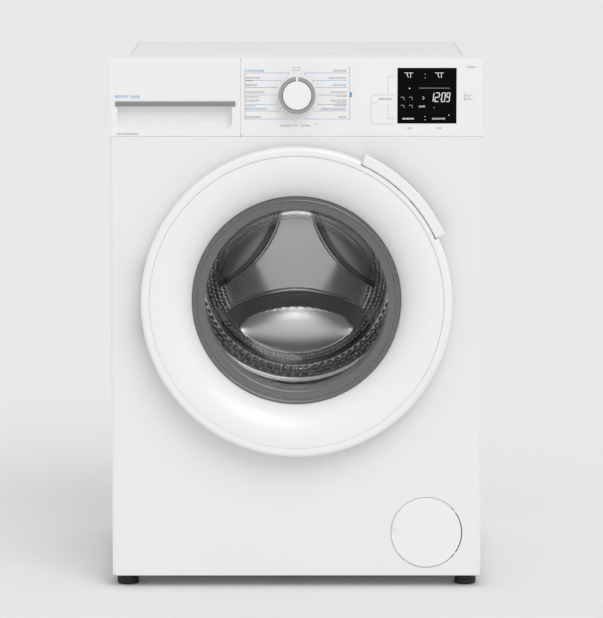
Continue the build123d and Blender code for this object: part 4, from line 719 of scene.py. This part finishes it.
ps.disc(X(1225), Z(360), 0.6)
signs = ps.build("display_signs", [LED, LED_DIM], "cabinet")

# ------------------------------------------------------------------ pale strips that close the seams; the grey filler is painted seam shade
PAINTED_SEAM_SHADE = surface("seam_filler_painted_shade", rgb(206, 205, 204), 0.55, var=0.03, scale=30, bump=0.05)


def bar(name, boxes, body, mat=None, bevel=0.0):
    v, f = [], []
    for x0, x1, y0, y1, z0, z1 in boxes:
        k = len(v)
        for x in (x0, x1):
            for y in (y0, y1):
                for z in (z0, z1):
                    v.append((x * MM, (y + YO) * MM, z * MM))
        f += [(k, k + 1, k + 3, k + 2), (k + 4, k + 6, k + 7, k + 5), (k, k + 4, k + 5, k + 1), (k + 2, k + 3, k + 7, k + 6),
              (k, k + 2, k + 6, k + 4), (k + 1, k + 5, k + 7, k + 3)]
    return obj_from(name, v, f, [mat or PAINTED_SEAM_SHADE], body)


def ring_xz(name, cx, cz, prof, a0, a1, n, body, mat=None):
    v, f = [], []
    full = a1 - a0 >= 359.9
    cnt = n if full else n + 1
    m = len(prof)
    for i in range(cnt):
        a = math.radians(a0 + (a1 - a0) * i / n)
        for r, y in prof:
            v.append(((cx + r * math.cos(a)) * MM, (y + YO) * MM, (cz + r * math.sin(a)) * MM))
    for i in range(n):
        j = (i + 1) % cnt
        for k in range(m):
            q = (k + 1) % m
            f.append((i * m + k, i * m + q, j * m + q, j * m + k))
    if not full:
        f.append(tuple(reversed(range(m))))
        f.append(tuple(range((cnt - 1) * m, cnt * m)))
    return obj_from(name, v, f, [mat or PAINTED_SEAM_SHADE], body, True)


bar("side_seams", [(-297.1, -295.4, 0.12, 2.6, 19.6, 731.0), (295.4, 297.1, 0.12, 2.6, 19.6, 731.0)], "cabinet", M["white_steel"])
bar("fascia_seams", [(-296.9, 296.9, 0.16, 2.4, 730.5, 732.22), (-89.12, -87.9, 0.06, 2.2, 733.0, 853.0)], "cabinet", M["white_plastic"])
# grey rings in the door seam and round the filter flap: painted seam shade
ring_xz("door_seam", 0, ZC, [(234.65, -44.3), (234.65, -42.6), (235.25, -42.6), (235.25, -44.3)], 0, 360, 256, "door")
ring_xz("flap_edge", 210, 90, [(56.45, 0.9), (56.45, 2.2), (57.55, 2.2), (57.55, 0.9)], 45, 315, 96, "flap")
# step ring on the bezel: the step catches real light, and its grey is a shade lighter than the bezel's, which is a
# painted highlight
BEZEL_STEP_PAINTED_HIGHLIGHT = surface("bezel_line_painted_highlight", rgb(116, 116, 116), 0.25, metal=0.35, var=0.03, scale=30, bump=0.03)
ring_xz("bezel_line_painted_highlight", 0, ZC, [(163.5, -10.6), (161.4, -12.2), (160.4, -12.2), (159.2, -10.2)], 0, 360, 256, "door", BEZEL_STEP_PAINTED_HIGHLIGHT)

# ------------------------------------------------------------------ floor, light, camera
floor_m = surface("floor_plain", rgb(232, 232, 232), 0.75, var=0.006, scale=0.8, bump=0.0, rvar=0.05, spec=0.2)
me = bpy.data.meshes.new("floor")
R = 60.0
me.from_pydata([(-R, -R, 0), (R, -R, 0), (R, R, 0), (-R, R, 0)], [], [(0, 1, 2, 3)])
me.materials.append(floor_m)
floor = bpy.data.objects.new("floor", me)
COL.objects.link(floor)

world = bpy.data.worlds.new("studio")
SC.world = world
world.use_nodes = True
bg = world.node_tree.nodes["Background"]
bg.inputs["Color"].default_value = (1.0, 0.992, 0.99, 1)
bg.inputs["Strength"].default_value = 0.80


def aim(o, target):
    o.rotation_mode = "QUATERNION"
    o.rotation_quaternion = (Vector(target) - o.location).to_track_quat("-Z", "Y")


sun = bpy.data.lights.new("sun_soft", "SUN")
sun.energy = 1.0
sun.angle = math.radians(40)
so = bpy.data.objects.new("sun_soft", sun)
so.location = (1.2, -3.0, 3.4)
COL.objects.link(so)
aim(so, (0, 0, 0.4))

glow_l = bpy.data.lights.new("under_fill", "AREA")
glow_l.shape = "RECTANGLE"
glow_l.size = 0.52
glow_l.size_y = 0.10
glow_l.energy = 0.0137
gl_o = bpy.data.objects.new("under_fill", glow_l)
gl_o.location = (0, -0.20, 0.018)
COL.objects.link(gl_o)

lamp = bpy.data.lights.new("drum_lamp", "AREA")
lamp.shape = "RECTANGLE"
lamp.size = 0.10
lamp.size_y = 0.010
lamp.energy = 0.08
lamp_o = bpy.data.objects.new("drum_lamp", lamp)
lamp_o.location = (0, (97.0 + YO) * MM, (ZC + 148.0) * MM)
COL.objects.link(lamp_o)
aim(lamp_o, (0, (370.0 + YO) * MM, (ZC - 60.0) * MM))

cam = bpy.data.cameras.new("camera")
co = bpy.data.objects.new("camera", cam)
COL.objects.link(co)
co.location = (-0.0007, -6.4814, 1.2397)
co.rotation_euler = (math.radians(90 - 7.19), 0, -0.0014)
cam.sensor_width = 36
cam.lens = 227.47
cam.clip_end = 200
SC.camera = co
SC.view_settings.view_transform = "Standard"
